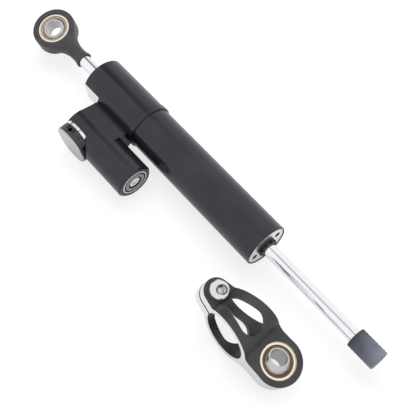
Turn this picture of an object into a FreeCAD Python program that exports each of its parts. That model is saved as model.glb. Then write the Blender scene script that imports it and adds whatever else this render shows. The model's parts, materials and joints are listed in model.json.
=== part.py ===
"""Steering damper with a side reservoir, an adjuster knob and a loose frame clamp.

The origin is the centre of the rod eye's ball. +X runs along the damper towards the
capped rod end, +Z is up, and the damper lies on a surface 15 mm below the rod.
"""
import FreeCAD, Part
import math
import os
import re

import Sketcher
from FreeCAD import Placement, Rotation, Vector

# Driving sizes in millimetres and degrees. Positions are along X, measured from the rod eye.
SIZES = {
    "rod_radius": 4.0,
    "seat_fit": 0.02,
    "running_fit": 0.04,
    "edge": 0.5,
    "through": 80.0,
    "match": 0.05,
    # Head block
    "head_start": 49.0,
    "head_end": 96.4,
    "head_step": 0.6,
    "lip_start": 92.3,
    "lip_step": 1.0,
    "lip_edge": 0.4,
    "side_wall_depth": 2.2,
    "side_fillet": 5.0,
    "side_wall_end": 58.0,
    "rod_clearance": 4.3,
    # Reservoir barrel, beside the head block
    "barrel_start": 63.0,
    "barrel_end": 117.8,
    "barrel_radius": 11.7,
    "barrel_offset": 29.4,
    "barrel_drop": 2.74,
    "barrel_edge": 1.2,
    "barrel_bore": 8.9,
    "barrel_bore_start": 84.0,
    # Web between the head and the barrel, by its corners in the cross section
    "web_sink": 1.0,
    "web_low_sink": 2.2,
    "web_high": 4.6,
    "web_low": 8.4,
    "web_crown": 26.25,
    "web_crown_height": 8.4,
    "web_belly": 25.8,
    "web_belly_drop": 13.8,
    # Main tube
    "tube_start": 84.0,
    "tube_end": 199.75,
    "tube_radius": 14.0,
    "tube_wall": 1.5,
    "spigot_step": 0.8,
    "spigot_play": 0.05,
    "chamber_start": 78.0,
    "tube_groove_depth": 0.35,
    # End cap
    "cap_length": 10.0,
    "cap_flange_depth": 9.75,
    "rim_wall": 0.7,
    "cap_recess": 0.4,
    "pin_hole_radius": 1.75,
    "pin_hole_circle": 8.9,
    "pin_hole_depth": 4.0,
    "pin_hole_turn": 16.8,
    "pin_holes": 2,
    # Rod guide bushes, rod seals and wipers
    "bush_radius": 5.5,
    "head_bush_start": 66.0,
    "cap_bush_end": 188.0,
    "seal_radius": 6.5,
    "seal_width": 3.0,
    "head_seal_start": 56.0,
    "cap_seal_start": 189.0,
    "seal_notch": 0.6,
    "seal_notch_depth": 1.2,
    "wiper_radius": 6.0,
    "head_wiper_end": 53.0,
    "cap_wiper_start": 195.0,
    "cap_wiper_end": 201.7,
    "wiper_slot_width": 1.5,
    "wiper_slot_depth": 1.0,
    "wiper_slot_length": 1.4,
    "wiper_slots": 10,
    # Static rings
    "groove_depth": 1.7,
    "groove_width": 2.2,
    "ring_section": 0.83,
    "cap_groove_start": 183.0,
    "tube_ring_place": 87.0,
    "tube_ring_section": 0.3,
    # Rod, piston and snap rings
    "stub_start": 17.0,
    "stub_radius": 3.0,
    "rod_start": 30.0,
    "rod_end": 285.0,
    "piston_start": 152.0,
    "piston_length": 16.0,
    "piston_play": 0.2,
    "band_thickness": 1.5,
    "band_groove_inset": 4.0,
    "band_groove_width": 8.0,
    "band_play": 0.1,
    "port_radius": 0.9,
    "port_circle": 7.8,
    "ports": 4,
    "clip_width": 0.9,
    "clip_play": 0.1,
    "clip_groove_radius": 3.45,
    "clip_radius": 5.2,
    "clip_gap": 2.0,
    # Rod buffer cap
    "buffer_start": 269.5,
    "buffer_end": 287.3,
    "buffer_radius": 6.2,
    # Rod eye
    "eye_radius": 13.8,
    "eye_half": 4.7,
    "eye_tilt": 10.14,
    "neck_start": 9.4,
    "neck_root": 10.1,
    "neck_arc": 21.8,
    "shank_radius": 5.34,
    "flat_end": 21.1,
    # Spherical bearings
    "ball_radius": 8.4,
    "ball_half": 6.0,
    "ball_bore": 5.0,
    "liner_radius": 8.85,
    "liner_half": 3.6,
    "race_radius": 10.3,
    "race_bore": 8.9,
    "race_half": 4.2,
    "race_edge": 0.35,
    # Adjuster valve and knob, by distance outward from the tube axis
    "knob_place": 72.06,
    "knob_drop": 2.6,
    "spot_face": 34.3,
    "spot_play": 0.5,
    "valve_bore": 3.5,
    "valve_bottom": 17.0,
    "orifice_radius": 1.2,
    "orifice_bottom": 10.0,
    "gallery_offset": 10.5,
    "gallery_start": 71.5,
    "feed_radius": 1.4,
    "feed_offset": 24.5,
    "seat_top": 21.0,
    "seat_orifice": 0.9,
    "needle_radius": 1.2,
    "needle_tip": 19.1,
    "needle_tip_radius": 0.35,
    "needle_cone": 21.9,
    "needle_tail": 28.2,
    "collar_start": 22.2,
    "collar_end": 23.2,
    "collar_radius": 2.2,
    "spindle_start": 24.2,
    "spindle_end": 41.5,
    "spindle_radius": 2.0,
    "socket_radius": 1.25,
    "socket_end": 29.0,
    "spindle_groove": 31.0,
    "spindle_groove_width": 0.9,
    "spindle_groove_radius": 1.2,
    "spindle_ring_section": 0.38,
    "gland_start": 26.5,
    "ring_face": 36.0,
    "ring_step": 0.8,
    "knob_play": 0.1,
    "knob_back": 42.0,
    "knob_radius": 12.4,
    "knob_edge": 0.5,
    "notches": 14,
    "notch_turn": 8.9,
    "notch_width": 1.2,
    "notch_depth": 0.7,
    "notch_length": 3.6,
    "skirt_turn": 34.6,
    "skirt_root": 9.6,
    "skirt_facet": 4.0,
    "skirt_depth": 4.3,
    "clicks": 24,
    "click_inset": 4.4,
    "click_radius": 0.7,
    "click_depth": 0.4,
    "face_gap": 0.02,
    "face_end": 43.0,
    "face_step": 0.2,
    "grub_radius": 1.5,
    "grub_place": 39.0,
    "grub_inset": 7.4,
    "grub_socket": 0.75,
    "grub_socket_depth": 1.6,
    "detent_radius": 1.5,
    "detent_spring_bore": 0.9,
    "detent_bottom": 28.5,
    # Reservoir pieces
    "separator_start": 86.0,
    "separator_length": 8.0,
    "separator_wall": 2.0,
    "separator_groove": 3.0,
    "reservoir_ring_section": 0.74,
    "reservoir_groove_depth": 1.5,
    "spring_play": 0.05,
    "spring_radius": 7.0,
    "spring_bore": 5.6,
    "plug_length": 7.8,
    "plug_recess": 0.1,
    "plug_edge": 0.3,
    "plug_groove": 2.0,
    "screw_recess_radius": 4.0,
    "screw_recess_depth": 3.0,
    "screw_head_radius": 3.8,
    "screw_head_height": 2.6,
    "screw_radius": 2.0,
    "screw_socket": 2.3,
    "screw_socket_depth": 1.6,
    "screw_stand": 0.6,
    # Frame clamp, in its own frame with the origin at its bearing
    "clamp_place_along": 250.69,
    "clamp_place_across": -40.12,
    "clamp_place_up": -5.61,
    "clamp_turn": 3.5,
    "clamp_tilt": 18.0,
    "clamp_roll": -7.5,
    "clamp_eye_radius": 14.0,
    "clamp_eye_half": 5.0,
    "clamp_ring_place": 29.2,
    "clamp_play": 0.05,
    "clamp_wall": 2.95,
    "clamp_relief_depth": 0.4,
    "clamp_relief_width": 2.0,
    "clamp_width": 30.0,
    "ear_place": 49.2,
    "ear_radius": 7.6,
    "ear_half": 7.8,
    "slit_half": 0.8,
    "slit_start": 41.7,
    "valley_fillet": 7.0,
    "ear_fillet": 1.2,
    "eye_shoulder": 2.0,
    "eye_shoulder_width": 13.86,
    "waist_place": 13.0,
    "waist_width": 13.75,
    "waist_arc": 120.0,
    "strap_arc": 400.0,
    "ear_root": 50.81,
    "ear_root_width": 7.43,
    "window_place": 25.9,
    "window_radius": 7.5,
    "window_tip_place": 37.0,
    "window_tip_radius": 5.0,
    "bolt_radius": 3.0,
    "bolt_head_radius": 5.4,
    "bolt_head_height": 5.2,
    "bolt_socket": 2.9,
    "bolt_socket_depth": 2.6,
    "bolt_tip": 7.6,
    "bolt_play": 0.05,
}

# Sizes that follow another size, so that a change to one part carries its neighbours with it.
FOLLOWING = {
    "tube_bore": "tube_radius - tube_wall",
    "spigot_radius": "tube_radius - spigot_step",
    "spigot_bore": "spigot_radius + spigot_play",
    "tube_groove": "spigot_radius - tube_groove_depth",
    "cap_flange_radius": "tube_radius - rim_wall",
    "head_radius": "tube_radius + head_step",
    "lip_radius": "tube_radius + lip_step",
    "side_wall": "head_radius - side_wall_depth",
    "web_root": "head_radius - web_sink",
    "web_low_root": "head_radius - web_low_sink",
    "cap_flange": "tube_end - cap_flange_depth",
    "cap_start": "cap_flange - cap_length",
    "piston_radius": "tube_bore - piston_play",
    "band_groove_radius": "tube_bore - band_thickness",
    "spot_radius": "knob_radius + spot_play",
    "ring_radius": "knob_radius - ring_step",
    "face_radius": "knob_radius - face_step",
    "click_circle": "knob_radius - click_inset",
    "grub_length": "knob_radius - grub_inset",
    "plug_start": "barrel_end - plug_length",
    "screw_start": "plug_start + screw_stand",
    "clamp_ring_bore": "tube_radius + clamp_play",
    "clamp_ring_radius": "clamp_ring_bore + clamp_wall",
}

# Directions of the two balls' bores, which sit tilted in their races.
ROD_BALL_AXIS = Vector(0.149, -0.231, 0.962)
CLAMP_BALL_AXIS = Vector(0.068, 0.351, 0.934)

doc = FreeCAD.newDocument("steering_damper")
sheet = doc.addObject("Spreadsheet::Sheet", "sizes")
nodes = []


def fill_sheet():
    """Write every size into the spreadsheet under its own alias, driving sizes first."""
    cells = {alias: str(number) for alias, number in SIZES.items()}
    cells.update({alias: "=" + expression for alias, expression in FOLLOWING.items()})
    for row, (alias, content) in enumerate(cells.items(), start=1):
        sheet.set(f"A{row}", alias)
        sheet.setAlias(f"B{row}", alias)
        sheet.set(f"B{row}", content)
    doc.recompute()


def bound(expression):
    """Turn an expression in aliases into one that another object can use."""
    return re.sub(r"[a-z][a-z_]+", lambda word: "sizes." + word.group(), expression)


def size(expression):
    """The present value of an expression in aliases."""
    return float(sheet.evalExpression(expression))


def keep(piece):
    """List a finished sub-part for export and return it."""
    nodes.append(piece)
    return piece


def new_body(label, placement=None):
    body = doc.addObject("PartDesign::Body", label)
    if placement is not None:
        body.Placement = placement
    return body


def new_sketch(body, name, plane, offset="0", turn="0", about=Vector(0, 0, 1)):
    """An empty sketch on an origin plane, moved along its normal and turned about one of its axes."""
    sketch = body.newObject("Sketcher::SketchObject", name)
    support = [item for item in body.Origin.OriginFeatures if item.Role == plane][0]
    sketch.AttachmentSupport = [(support, "")]
    sketch.MapMode = "FlatFace"
    sketch.AttachmentOffset = Placement(Vector(0, 0, size(offset)), Rotation(about, size(turn)))
    if offset != "0":
        sketch.setExpression(".AttachmentOffset.Base.z", bound(offset))
    if turn != "0":
        sketch.setExpression(".AttachmentOffset.Rotation.Angle", bound(turn))
    return sketch


def constrain(sketch, kind, name, expression, *where):
    """Add one dimension and bind it to the sheet."""
    index = sketch.addConstraint(Sketcher.Constraint(kind, *where, size(expression)))
    if expression != "0":
        sketch.renameConstraint(index, name)
        sketch.setExpression("Constraints." + name, bound(expression))


def arc_geometry(start, end, radius):
    """The shorter arc from start to end. A positive radius has its centre on the left."""
    chord = end - start
    height = math.sqrt(radius * radius - chord.Length * chord.Length / 4)
    left = Vector(-chord.y, chord.x, 0).normalize()
    side = 1 if radius > 0 else -1
    centre = (start + end) * 0.5 + left * height * side
    first, last = (start, end) if side > 0 else (end, start)
    angles = [math.atan2(point.y - centre.y, point.x - centre.x) for point in (first, last)]
    if angles[1] < angles[0]:
        angles[1] += 2 * math.pi
    circle = Part.Circle(centre, Vector(0, 0, 1), abs(radius))
    return Part.ArcOfCircle(circle, angles[0], angles[1])


def outline(sketch, points, tag="p"):
    """Close a loop through points. A third entry makes the edge that leaves a point an arc."""
    places = [Vector(size(point[0]), size(point[1]), 0) for point in points]
    starts, ends = [], []
    for index, point in enumerate(points):
        here, there = places[index], places[(index + 1) % len(points)]
        if len(point) == 3:
            radius = size(point[2])
            edge = sketch.addGeometry(arc_geometry(here, there, radius), False)
            starts.append((edge, 1 if radius > 0 else 2))
            ends.append((edge, 2 if radius > 0 else 1))
        else:
            edge = sketch.addGeometry(Part.LineSegment(here, there), False)
            starts.append((edge, 1))
            ends.append((edge, 2))
    for index, point in enumerate(points):
        following = starts[(index + 1) % len(points)]
        sketch.addConstraint(Sketcher.Constraint("Coincident", *ends[index], *following))
        constrain(sketch, "DistanceX", f"{tag}{index}x", point[0], *starts[index])
        constrain(sketch, "DistanceY", f"{tag}{index}y", point[1], *starts[index])
        if len(point) == 3:
            bulge = point[2].lstrip("-")
            constrain(sketch, "Radius", f"{tag}{index}r", bulge, starts[index][0])
    return sketch


def circle(sketch, across, up, radius, tag="c"):
    """Add one circle with its centre and radius bound to the sheet."""
    centre = Vector(size(across), size(up), 0)
    index = sketch.addGeometry(Part.Circle(centre, Vector(0, 0, 1), size(radius)), False)
    constrain(sketch, "DistanceX", tag + "x", across, index, 3)
    constrain(sketch, "DistanceY", tag + "y", up, index, 3)
    constrain(sketch, "Radius", tag + "r", radius, index)
    return sketch


def hexagon(sketch, across, up, radius):
    """Add a regular hexagon by its corner radius, with one corner along the first axis."""
    corners = [
        (f"{across} + {radius} * {math.cos(math.radians(60 * step)):.9f}",
         f"{up} + {radius} * {math.sin(math.radians(60 * step)):.9f}")
        for step in range(6)
    ]
    return outline(sketch, corners)


def revolve(body, sketch, axis="H_Axis", cut=False):
    kind = "PartDesign::Groove" if cut else "PartDesign::Revolution"
    turn = body.newObject(kind, sketch.Name + "_turn")
    turn.Profile = sketch
    turn.ReferenceAxis = (sketch, [axis])
    turn.Angle = 360
    return turn


def extrude(body, sketch, length, cut=False, middle=False, flip=False):
    """Pad or pocket a sketch by a bound length."""
    kind = "PartDesign::Pocket" if cut else "PartDesign::Pad"
    feature = body.newObject(kind, sketch.Name + ("_pocket" if cut else "_pad"))
    feature.Profile = sketch
    feature.Length = size(length)
    feature.setExpression("Length", bound(length))
    feature.Midplane = middle
    feature.Reversed = flip
    return feature


def turned(label, profile, placement=None):
    """A piece turned about its own X axis from a closed half profile."""
    body = new_body(label, placement)
    sketch = outline(new_sketch(body, label + "_profile", "XY_Plane"), profile)
    revolve(body, sketch)
    return keep(body)


def ring_seal(label, mean_radius, section, placement):
    """A round-section ring whose axis is its placement's X axis."""
    ring = doc.addObject("Part::Torus", label)
    ring.setExpression("Radius1", bound(mean_radius))
    ring.setExpression("Radius2", bound(section))
    upright = Placement(Vector(), Rotation(Vector(0, 0, 1), Vector(1, 0, 0)))
    ring.Placement = placement.multiply(upright)
    return keep(ring)


def along_x(x, y=0.0, z=0.0):
    return Placement(Vector(x, y, z), Rotation())


def knob_frame():
    """The frame of the knob and its valve: X points outward, to the side of the damper."""
    turn = Rotation(Vector(1, 0, 0), Vector(0, -1, 0))
    return Placement(Vector(size("knob_place"), 0, -size("knob_drop")), turn)


def clamp_frame():
    place = Vector(size("clamp_place_along"), size("clamp_place_across"), size("clamp_place_up"))
    turn = Rotation(Vector(0, 0, 1), size("clamp_turn"))
    tilt = Rotation(Vector(0, 1, 0), size("clamp_tilt"))
    roll = Rotation(Vector(1, 0, 0), size("clamp_roll"))
    return Placement(place, turn.multiply(tilt).multiply(roll))


def barrel_axis(sketch):
    """Draw the barrel's own axis as a construction line, to turn the barrel about."""
    start = Vector(size("barrel_start"), -size("barrel_offset"), 0)
    end = Vector(size("barrel_end"), start.y, 0)
    line = sketch.addGeometry(Part.LineSegment(start, end), True)
    sketch.addConstraint(Sketcher.Constraint("Horizontal", line))
    constrain(sketch, "DistanceX", "axis_along", "barrel_start", line, 1)
    constrain(sketch, "DistanceY", "axis_across", "0 - barrel_offset", line, 1)


def make_head_block():
    """Head casting: round head, web, reservoir barrel, and every bore that they share."""
    body = new_body("head_block")
    shell = outline(new_sketch(body, "head_outer", "XY_Plane"), [
        ("head_start", "0"),
        ("head_end", "0"),
        ("head_end", "lip_radius - lip_edge"),
        ("head_end - lip_edge", "lip_radius"),
        ("lip_start + lip_edge", "lip_radius"),
        ("lip_start", "head_radius"),
        ("head_start + edge", "head_radius"),
        ("head_start", "head_radius - edge"),
    ])
    revolve(body, shell)
    web = outline(new_sketch(body, "head_web", "YZ_Plane", "side_wall_end"), [
        ("0 - web_root", "web_high"),
        ("0 - web_crown", "web_crown_height"),
        ("0 - barrel_offset", "0 - barrel_drop"),
        ("0 - web_belly", "0 - web_belly_drop"),
        ("0 - web_low_root", "0 - web_low"),
    ])
    extrude(body, web, "lip_start - side_wall_end")
    barrel = outline(new_sketch(body, "head_barrel", "XY_Plane", "0 - barrel_drop"), [
        ("barrel_start", "0 - barrel_offset"),
        ("barrel_end", "0 - barrel_offset"),
        ("barrel_end", "barrel_edge - barrel_offset - barrel_radius"),
        ("barrel_end - barrel_edge", "0 - barrel_offset - barrel_radius"),
        ("barrel_start", "0 - barrel_offset - barrel_radius"),
    ])
    barrel_axis(barrel)
    revolve(body, barrel, axis="Axis0")
    bore = outline(new_sketch(body, "head_bore", "XY_Plane"), [
        ("head_start", "0"),
        ("head_start", "wiper_radius + seat_fit"),
        ("head_wiper_end", "wiper_radius + seat_fit"),
        ("head_wiper_end", "rod_clearance"),
        ("head_seal_start", "rod_clearance"),
        ("head_seal_start", "seal_radius + seat_fit"),
        ("head_seal_start + seal_width", "seal_radius + seat_fit"),
        ("head_seal_start + seal_width", "rod_clearance"),
        ("head_bush_start", "rod_clearance"),
        ("head_bush_start", "bush_radius"),
        ("chamber_start", "bush_radius"),
        ("chamber_start", "tube_bore"),
        ("tube_start", "tube_bore"),
        ("tube_start", "spigot_bore"),
        ("head_end", "spigot_bore"),
        ("head_end", "0"),
    ])
    revolve(body, bore, cut=True)
    reservoir = circle(new_sketch(body, "reservoir_bore", "YZ_Plane", "barrel_end"),
                       "0 - barrel_offset", "0 - barrel_drop", "barrel_bore")
    extrude(body, reservoir, "barrel_end - barrel_bore_start", cut=True)
    feed = circle(new_sketch(body, "feed_bore", "YZ_Plane", "barrel_bore_start"),
                  "0 - feed_offset", "0 - knob_drop", "feed_radius")
    extrude(body, feed, "barrel_bore_start - knob_place", cut=True)
    gallery = circle(new_sketch(body, "gallery_bore", "YZ_Plane", "chamber_start"),
                     "0 - gallery_offset", "0 - knob_drop", "orifice_radius")
    extrude(body, gallery, "chamber_start - gallery_start", cut=True)
    valve = circle(new_sketch(body, "valve_bore_hole", "XZ_Plane", "spot_face"),
                   "knob_place", "0 - knob_drop", "valve_bore")
    extrude(body, valve, "spot_face - valve_bottom", cut=True)
    orifice = circle(new_sketch(body, "orifice_bore", "XZ_Plane", "valve_bottom"),
                     "knob_place", "0 - knob_drop", "orifice_radius")
    extrude(body, orifice, "valve_bottom - orifice_bottom", cut=True)
    detent = circle(new_sketch(body, "detent_bore", "XZ_Plane", "spot_face"),
                    "knob_place + click_circle", "0 - knob_drop", "detent_radius + running_fit")
    extrude(body, detent, "spot_face - detent_bottom", cut=True)
    spot = circle(new_sketch(body, "spot_face_cut", "XZ_Plane", "spot_face"),
                  "knob_place", "0 - knob_drop", "spot_radius")
    extrude(body, spot, "spot_radius", cut=True, flip=True)
    wall = outline(new_sketch(body, "side_wall_cut", "XY_Plane"), [
        ("head_start - edge", "0 - side_wall"),
        ("head_start - edge", "0 - barrel_offset * 2"),
        ("barrel_start", "0 - barrel_offset * 2"),
        ("barrel_start", "0 - side_wall - side_fillet", "side_fillet"),
        ("side_wall_end", "0 - side_wall"),
    ])
    extrude(body, wall, "through", cut=True, middle=True)
    keep(body)


def make_tube():
    turned("main_tube", [
        ("tube_start", "tube_bore"),
        ("tube_start", "spigot_radius"),
        ("tube_ring_place - tube_ring_section - spring_play", "spigot_radius"),
        ("tube_ring_place - tube_ring_section - spring_play", "tube_groove - tube_ring_section"),
        ("tube_ring_place + tube_ring_section + spring_play", "tube_groove - tube_ring_section"),
        ("tube_ring_place + tube_ring_section + spring_play", "spigot_radius"),
        ("head_end", "spigot_radius"),
        ("head_end", "tube_radius"),
        ("tube_end - edge", "tube_radius"),
        ("tube_end", "tube_radius - edge"),
        ("tube_end", "cap_flange_radius"),
        ("cap_flange", "cap_flange_radius"),
        ("cap_flange", "tube_bore"),
    ])
    ring_seal("tube_oring", "tube_groove + seat_fit", "tube_ring_section",
              along_x(size("tube_ring_place")))


def make_end_cap():
    """Screwed end cap with two pin-spanner holes in its face."""
    body = new_body("end_cap", Placement(Vector(), Rotation(Vector(1, 0, 0), size("pin_hole_turn"))))
    profile = outline(new_sketch(body, "end_cap_profile", "XY_Plane"), [
        ("cap_start", "bush_radius"),
        ("cap_start", "tube_bore - seat_fit"),
        ("cap_groove_start", "tube_bore - seat_fit"),
        ("cap_groove_start", "tube_bore - groove_depth"),
        ("cap_groove_start + groove_width", "tube_bore - groove_depth"),
        ("cap_groove_start + groove_width", "tube_bore - seat_fit"),
        ("cap_flange", "tube_bore - seat_fit"),
        ("cap_flange", "cap_flange_radius - seat_fit"),
        ("tube_end - cap_recess - lip_edge", "cap_flange_radius - seat_fit"),
        ("tube_end - cap_recess", "cap_flange_radius - seat_fit - lip_edge"),
        ("tube_end - cap_recess", "wiper_radius + seat_fit"),
        ("cap_wiper_start", "wiper_radius + seat_fit"),
        ("cap_wiper_start", "rod_clearance"),
        ("cap_seal_start + seal_width", "rod_clearance"),
        ("cap_seal_start + seal_width", "seal_radius + seat_fit"),
        ("cap_seal_start", "seal_radius + seat_fit"),
        ("cap_seal_start", "rod_clearance"),
        ("cap_bush_end", "rod_clearance"),
        ("cap_bush_end", "bush_radius"),
    ])
    revolve(body, profile)
    hole = circle(new_sketch(body, "pin_hole", "YZ_Plane", "tube_end - cap_recess"),
                  "pin_hole_circle", "0", "pin_hole_radius")
    polar_pocket(body, hole, "pin_hole_depth", "pin_holes")
    keep(body)
    ring_seal("end_cap_oring", "tube_bore - groove_depth / 2", "ring_section",
              along_x(size("cap_groove_start + groove_width / 2")))


def polar_pocket(body, sketch, length, count, flip=False):
    pocket = extrude(body, sketch, length, cut=True, flip=flip)
    pattern = body.newObject("PartDesign::PolarPattern", sketch.Name + "_pattern")
    pattern.Originals = [pocket]
    axis = [item for item in body.Origin.OriginFeatures if item.Role == "X_Axis"][0]
    pattern.Axis = (axis, [""])
    pattern.Angle = 360
    pattern.Occurrences = int(size(count))
    body.Tip = pattern
    return pattern


def make_rod_guides():
    """Bronze guide bushes, lip seals and wipers at both ends of the tube."""
    inner = "rod_radius + running_fit"
    for label, start, end in (
        ("head_guide_bush", "head_bush_start", "chamber_start - edge"),
        ("cap_guide_bush", "cap_start + edge", "cap_bush_end"),
    ):
        turned(label, [(start, inner), (start, "bush_radius - seat_fit"),
                       (end, "bush_radius - seat_fit"), (end, inner)])
    middle = "(rod_radius + seal_radius) / 2"
    for label, start, inward in (
        ("head_rod_seal", "head_seal_start", True),
        ("cap_rod_seal", "cap_seal_start", False),
    ):
        open_end = f"{start} + seal_width" if inward else start
        closed_end = start if inward else f"{start} + seal_width"
        step = "- seal_notch_depth" if inward else "+ seal_notch_depth"
        turned(label, [
            (closed_end, inner),
            (open_end, inner),
            (open_end, f"{middle} - seal_notch"),
            (f"{open_end} {step}", middle),
            (open_end, f"{middle} + seal_notch"),
            (open_end, "seal_radius"),
            (closed_end, "seal_radius"),
        ])
    turned("head_wiper", [
        ("head_start", inner),
        ("head_start", "wiper_radius - edge"),
        ("head_start + edge", "wiper_radius"),
        ("head_wiper_end", "wiper_radius"),
        ("head_wiper_end", inner),
    ])
    body = new_body("cap_wiper")
    profile = outline(new_sketch(body, "cap_wiper_profile", "XY_Plane"), [
        ("cap_wiper_start", inner),
        ("cap_wiper_end", inner),
        ("cap_wiper_end", "wiper_radius - lip_edge"),
        ("cap_wiper_end - lip_edge", "wiper_radius"),
        ("cap_wiper_start", "wiper_radius"),
    ])
    revolve(body, profile)
    slot = outline(new_sketch(body, "cap_wiper_slot", "YZ_Plane", "cap_wiper_end"), [
        ("wiper_radius - wiper_slot_depth", "0 - wiper_slot_width / 2"),
        ("wiper_radius + edge", "0 - wiper_slot_width / 2"),
        ("wiper_radius + edge", "wiper_slot_width / 2"),
        ("wiper_radius - wiper_slot_depth", "wiper_slot_width / 2"),
    ])
    polar_pocket(body, slot, "wiper_slot_length", "wiper_slots")
    keep(body)


def make_rod_and_piston():
    """Through rod with its piston, wear band, snap rings and rubber buffer cap."""
    first = "piston_start - clip_play - clip_width - clip_play"
    second = "piston_start + piston_length + clip_play / 2"
    groove = "clip_width + clip_play"
    turned("piston_rod", [
        ("stub_start", "0"),
        ("stub_start", "stub_radius - edge"),
        ("stub_start + edge", "stub_radius"),
        ("rod_start", "stub_radius"),
        ("rod_start", "rod_radius"),
        (first, "rod_radius"),
        (first, "clip_groove_radius"),
        (f"{first} + {groove}", "clip_groove_radius"),
        (f"{first} + {groove}", "rod_radius"),
        (second, "rod_radius"),
        (second, "clip_groove_radius"),
        (f"{second} + {groove}", "clip_groove_radius"),
        (f"{second} + {groove}", "rod_radius"),
        ("rod_end - edge", "rod_radius"),
        ("rod_end", "rod_radius - edge"),
        ("rod_end", "0"),
    ])
    body = new_body("piston")
    profile = outline(new_sketch(body, "piston_profile", "XY_Plane"), [
        ("piston_start", "rod_radius + seat_fit"),
        ("piston_start", "piston_radius - edge"),
        ("piston_start + edge", "piston_radius"),
        ("piston_start + band_groove_inset", "piston_radius"),
        ("piston_start + band_groove_inset", "band_groove_radius"),
        ("piston_start + band_groove_inset + band_groove_width", "band_groove_radius"),
        ("piston_start + band_groove_inset + band_groove_width", "piston_radius"),
        ("piston_start + piston_length - edge", "piston_radius"),
        ("piston_start + piston_length", "piston_radius - edge"),
        ("piston_start + piston_length", "rod_radius + seat_fit"),
    ])
    revolve(body, profile)
    port = circle(new_sketch(body, "piston_port", "YZ_Plane", "piston_start + piston_length"),
                  "port_circle", "0", "port_radius")
    polar_pocket(body, port, "piston_length", "ports")
    keep(body)
    band_start = "piston_start + band_groove_inset + band_play"
    band_end = "piston_start + band_groove_inset + band_groove_width - band_play"
    turned("piston_band", [
        (band_start, "band_groove_radius + running_fit"),
        (band_start, "tube_bore - running_fit"),
        (band_end, "tube_bore - running_fit"),
        (band_end, "band_groove_radius + running_fit"),
    ])
    clips = [clip_shape(size(place) + size("clip_play") / 2) for place in (first, second)]
    pair = doc.addObject("Part::Feature", "piston_clips")
    pair.Shape = Part.makeCompound(clips)
    keep(pair)
    turned("rod_buffer_cap", [
        ("buffer_start", "rod_radius + seat_fit"),
        ("buffer_start", "buffer_radius - edge"),
        ("buffer_start + edge", "buffer_radius"),
        ("buffer_end - edge", "buffer_radius"),
        ("buffer_end", "buffer_radius - edge"),
        ("buffer_end", "0"),
        ("rod_end + seat_fit", "0"),
        ("rod_end + seat_fit", "rod_radius + seat_fit"),
    ])


def clip_shape(start):
    """One open snap ring in its rod groove."""
    along = Vector(1, 0, 0)
    inner = size("clip_groove_radius + seat_fit")
    width = size("clip_width")
    ring = Part.makeCylinder(size("clip_radius"), width, Vector(start, 0, 0), along)
    ring = ring.cut(Part.makeCylinder(inner, width, Vector(start, 0, 0), along))
    gap = size("clip_gap")
    opening = Part.makeBox(width, gap, size("clip_radius"), Vector(start, -gap / 2, 0))
    return ring.cut(opening)


def make_rod_eye():
    """Rod eye: a flat ring blended into a flared shank that the rod screws into."""
    body = new_body("rod_end_eye", Placement(Vector(), Rotation(Vector(1, 0, 0), size("eye_tilt"))))
    neck = outline(new_sketch(body, "eye_neck", "XY_Plane"), [
        ("neck_start", "0"),
        ("rod_start", "0"),
        ("rod_start", "shank_radius", "-neck_arc"),
        ("neck_start", "neck_root"),
    ])
    revolve(body, neck)
    for label, side in (("eye_flat_top", ""), ("eye_flat_bottom", "0 - ")):
        flat = outline(new_sketch(body, label, "XZ_Plane"), [
            ("0", f"{side}eye_half"),
            ("flat_end", f"{side}eye_half"),
            ("flat_end", f"{side}eye_radius"),
            ("0", f"{side}eye_radius"),
        ])
        extrude(body, flat, "through", cut=True, middle=True)
    ring = outline(new_sketch(body, "eye_ring", "XZ_Plane"), [
        ("0", "0 - eye_half"),
        ("eye_radius - edge", "0 - eye_half"),
        ("eye_radius", "edge - eye_half"),
        ("eye_radius", "eye_half - edge"),
        ("eye_radius - edge", "eye_half"),
        ("0", "eye_half"),
    ])
    revolve(body, ring, axis="V_Axis")
    hole = circle(new_sketch(body, "eye_hole", "XY_Plane"), "0", "0", "race_radius + seat_fit")
    extrude(body, hole, "through", cut=True, middle=True)
    socket = outline(new_sketch(body, "eye_socket", "XY_Plane"), [
        ("stub_start - edge", "0"),
        ("rod_start", "0"),
        ("rod_start", "stub_radius + seat_fit"),
        ("stub_start - edge", "stub_radius + seat_fit"),
    ])
    revolve(body, socket, cut=True)
    keep(body)


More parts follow.
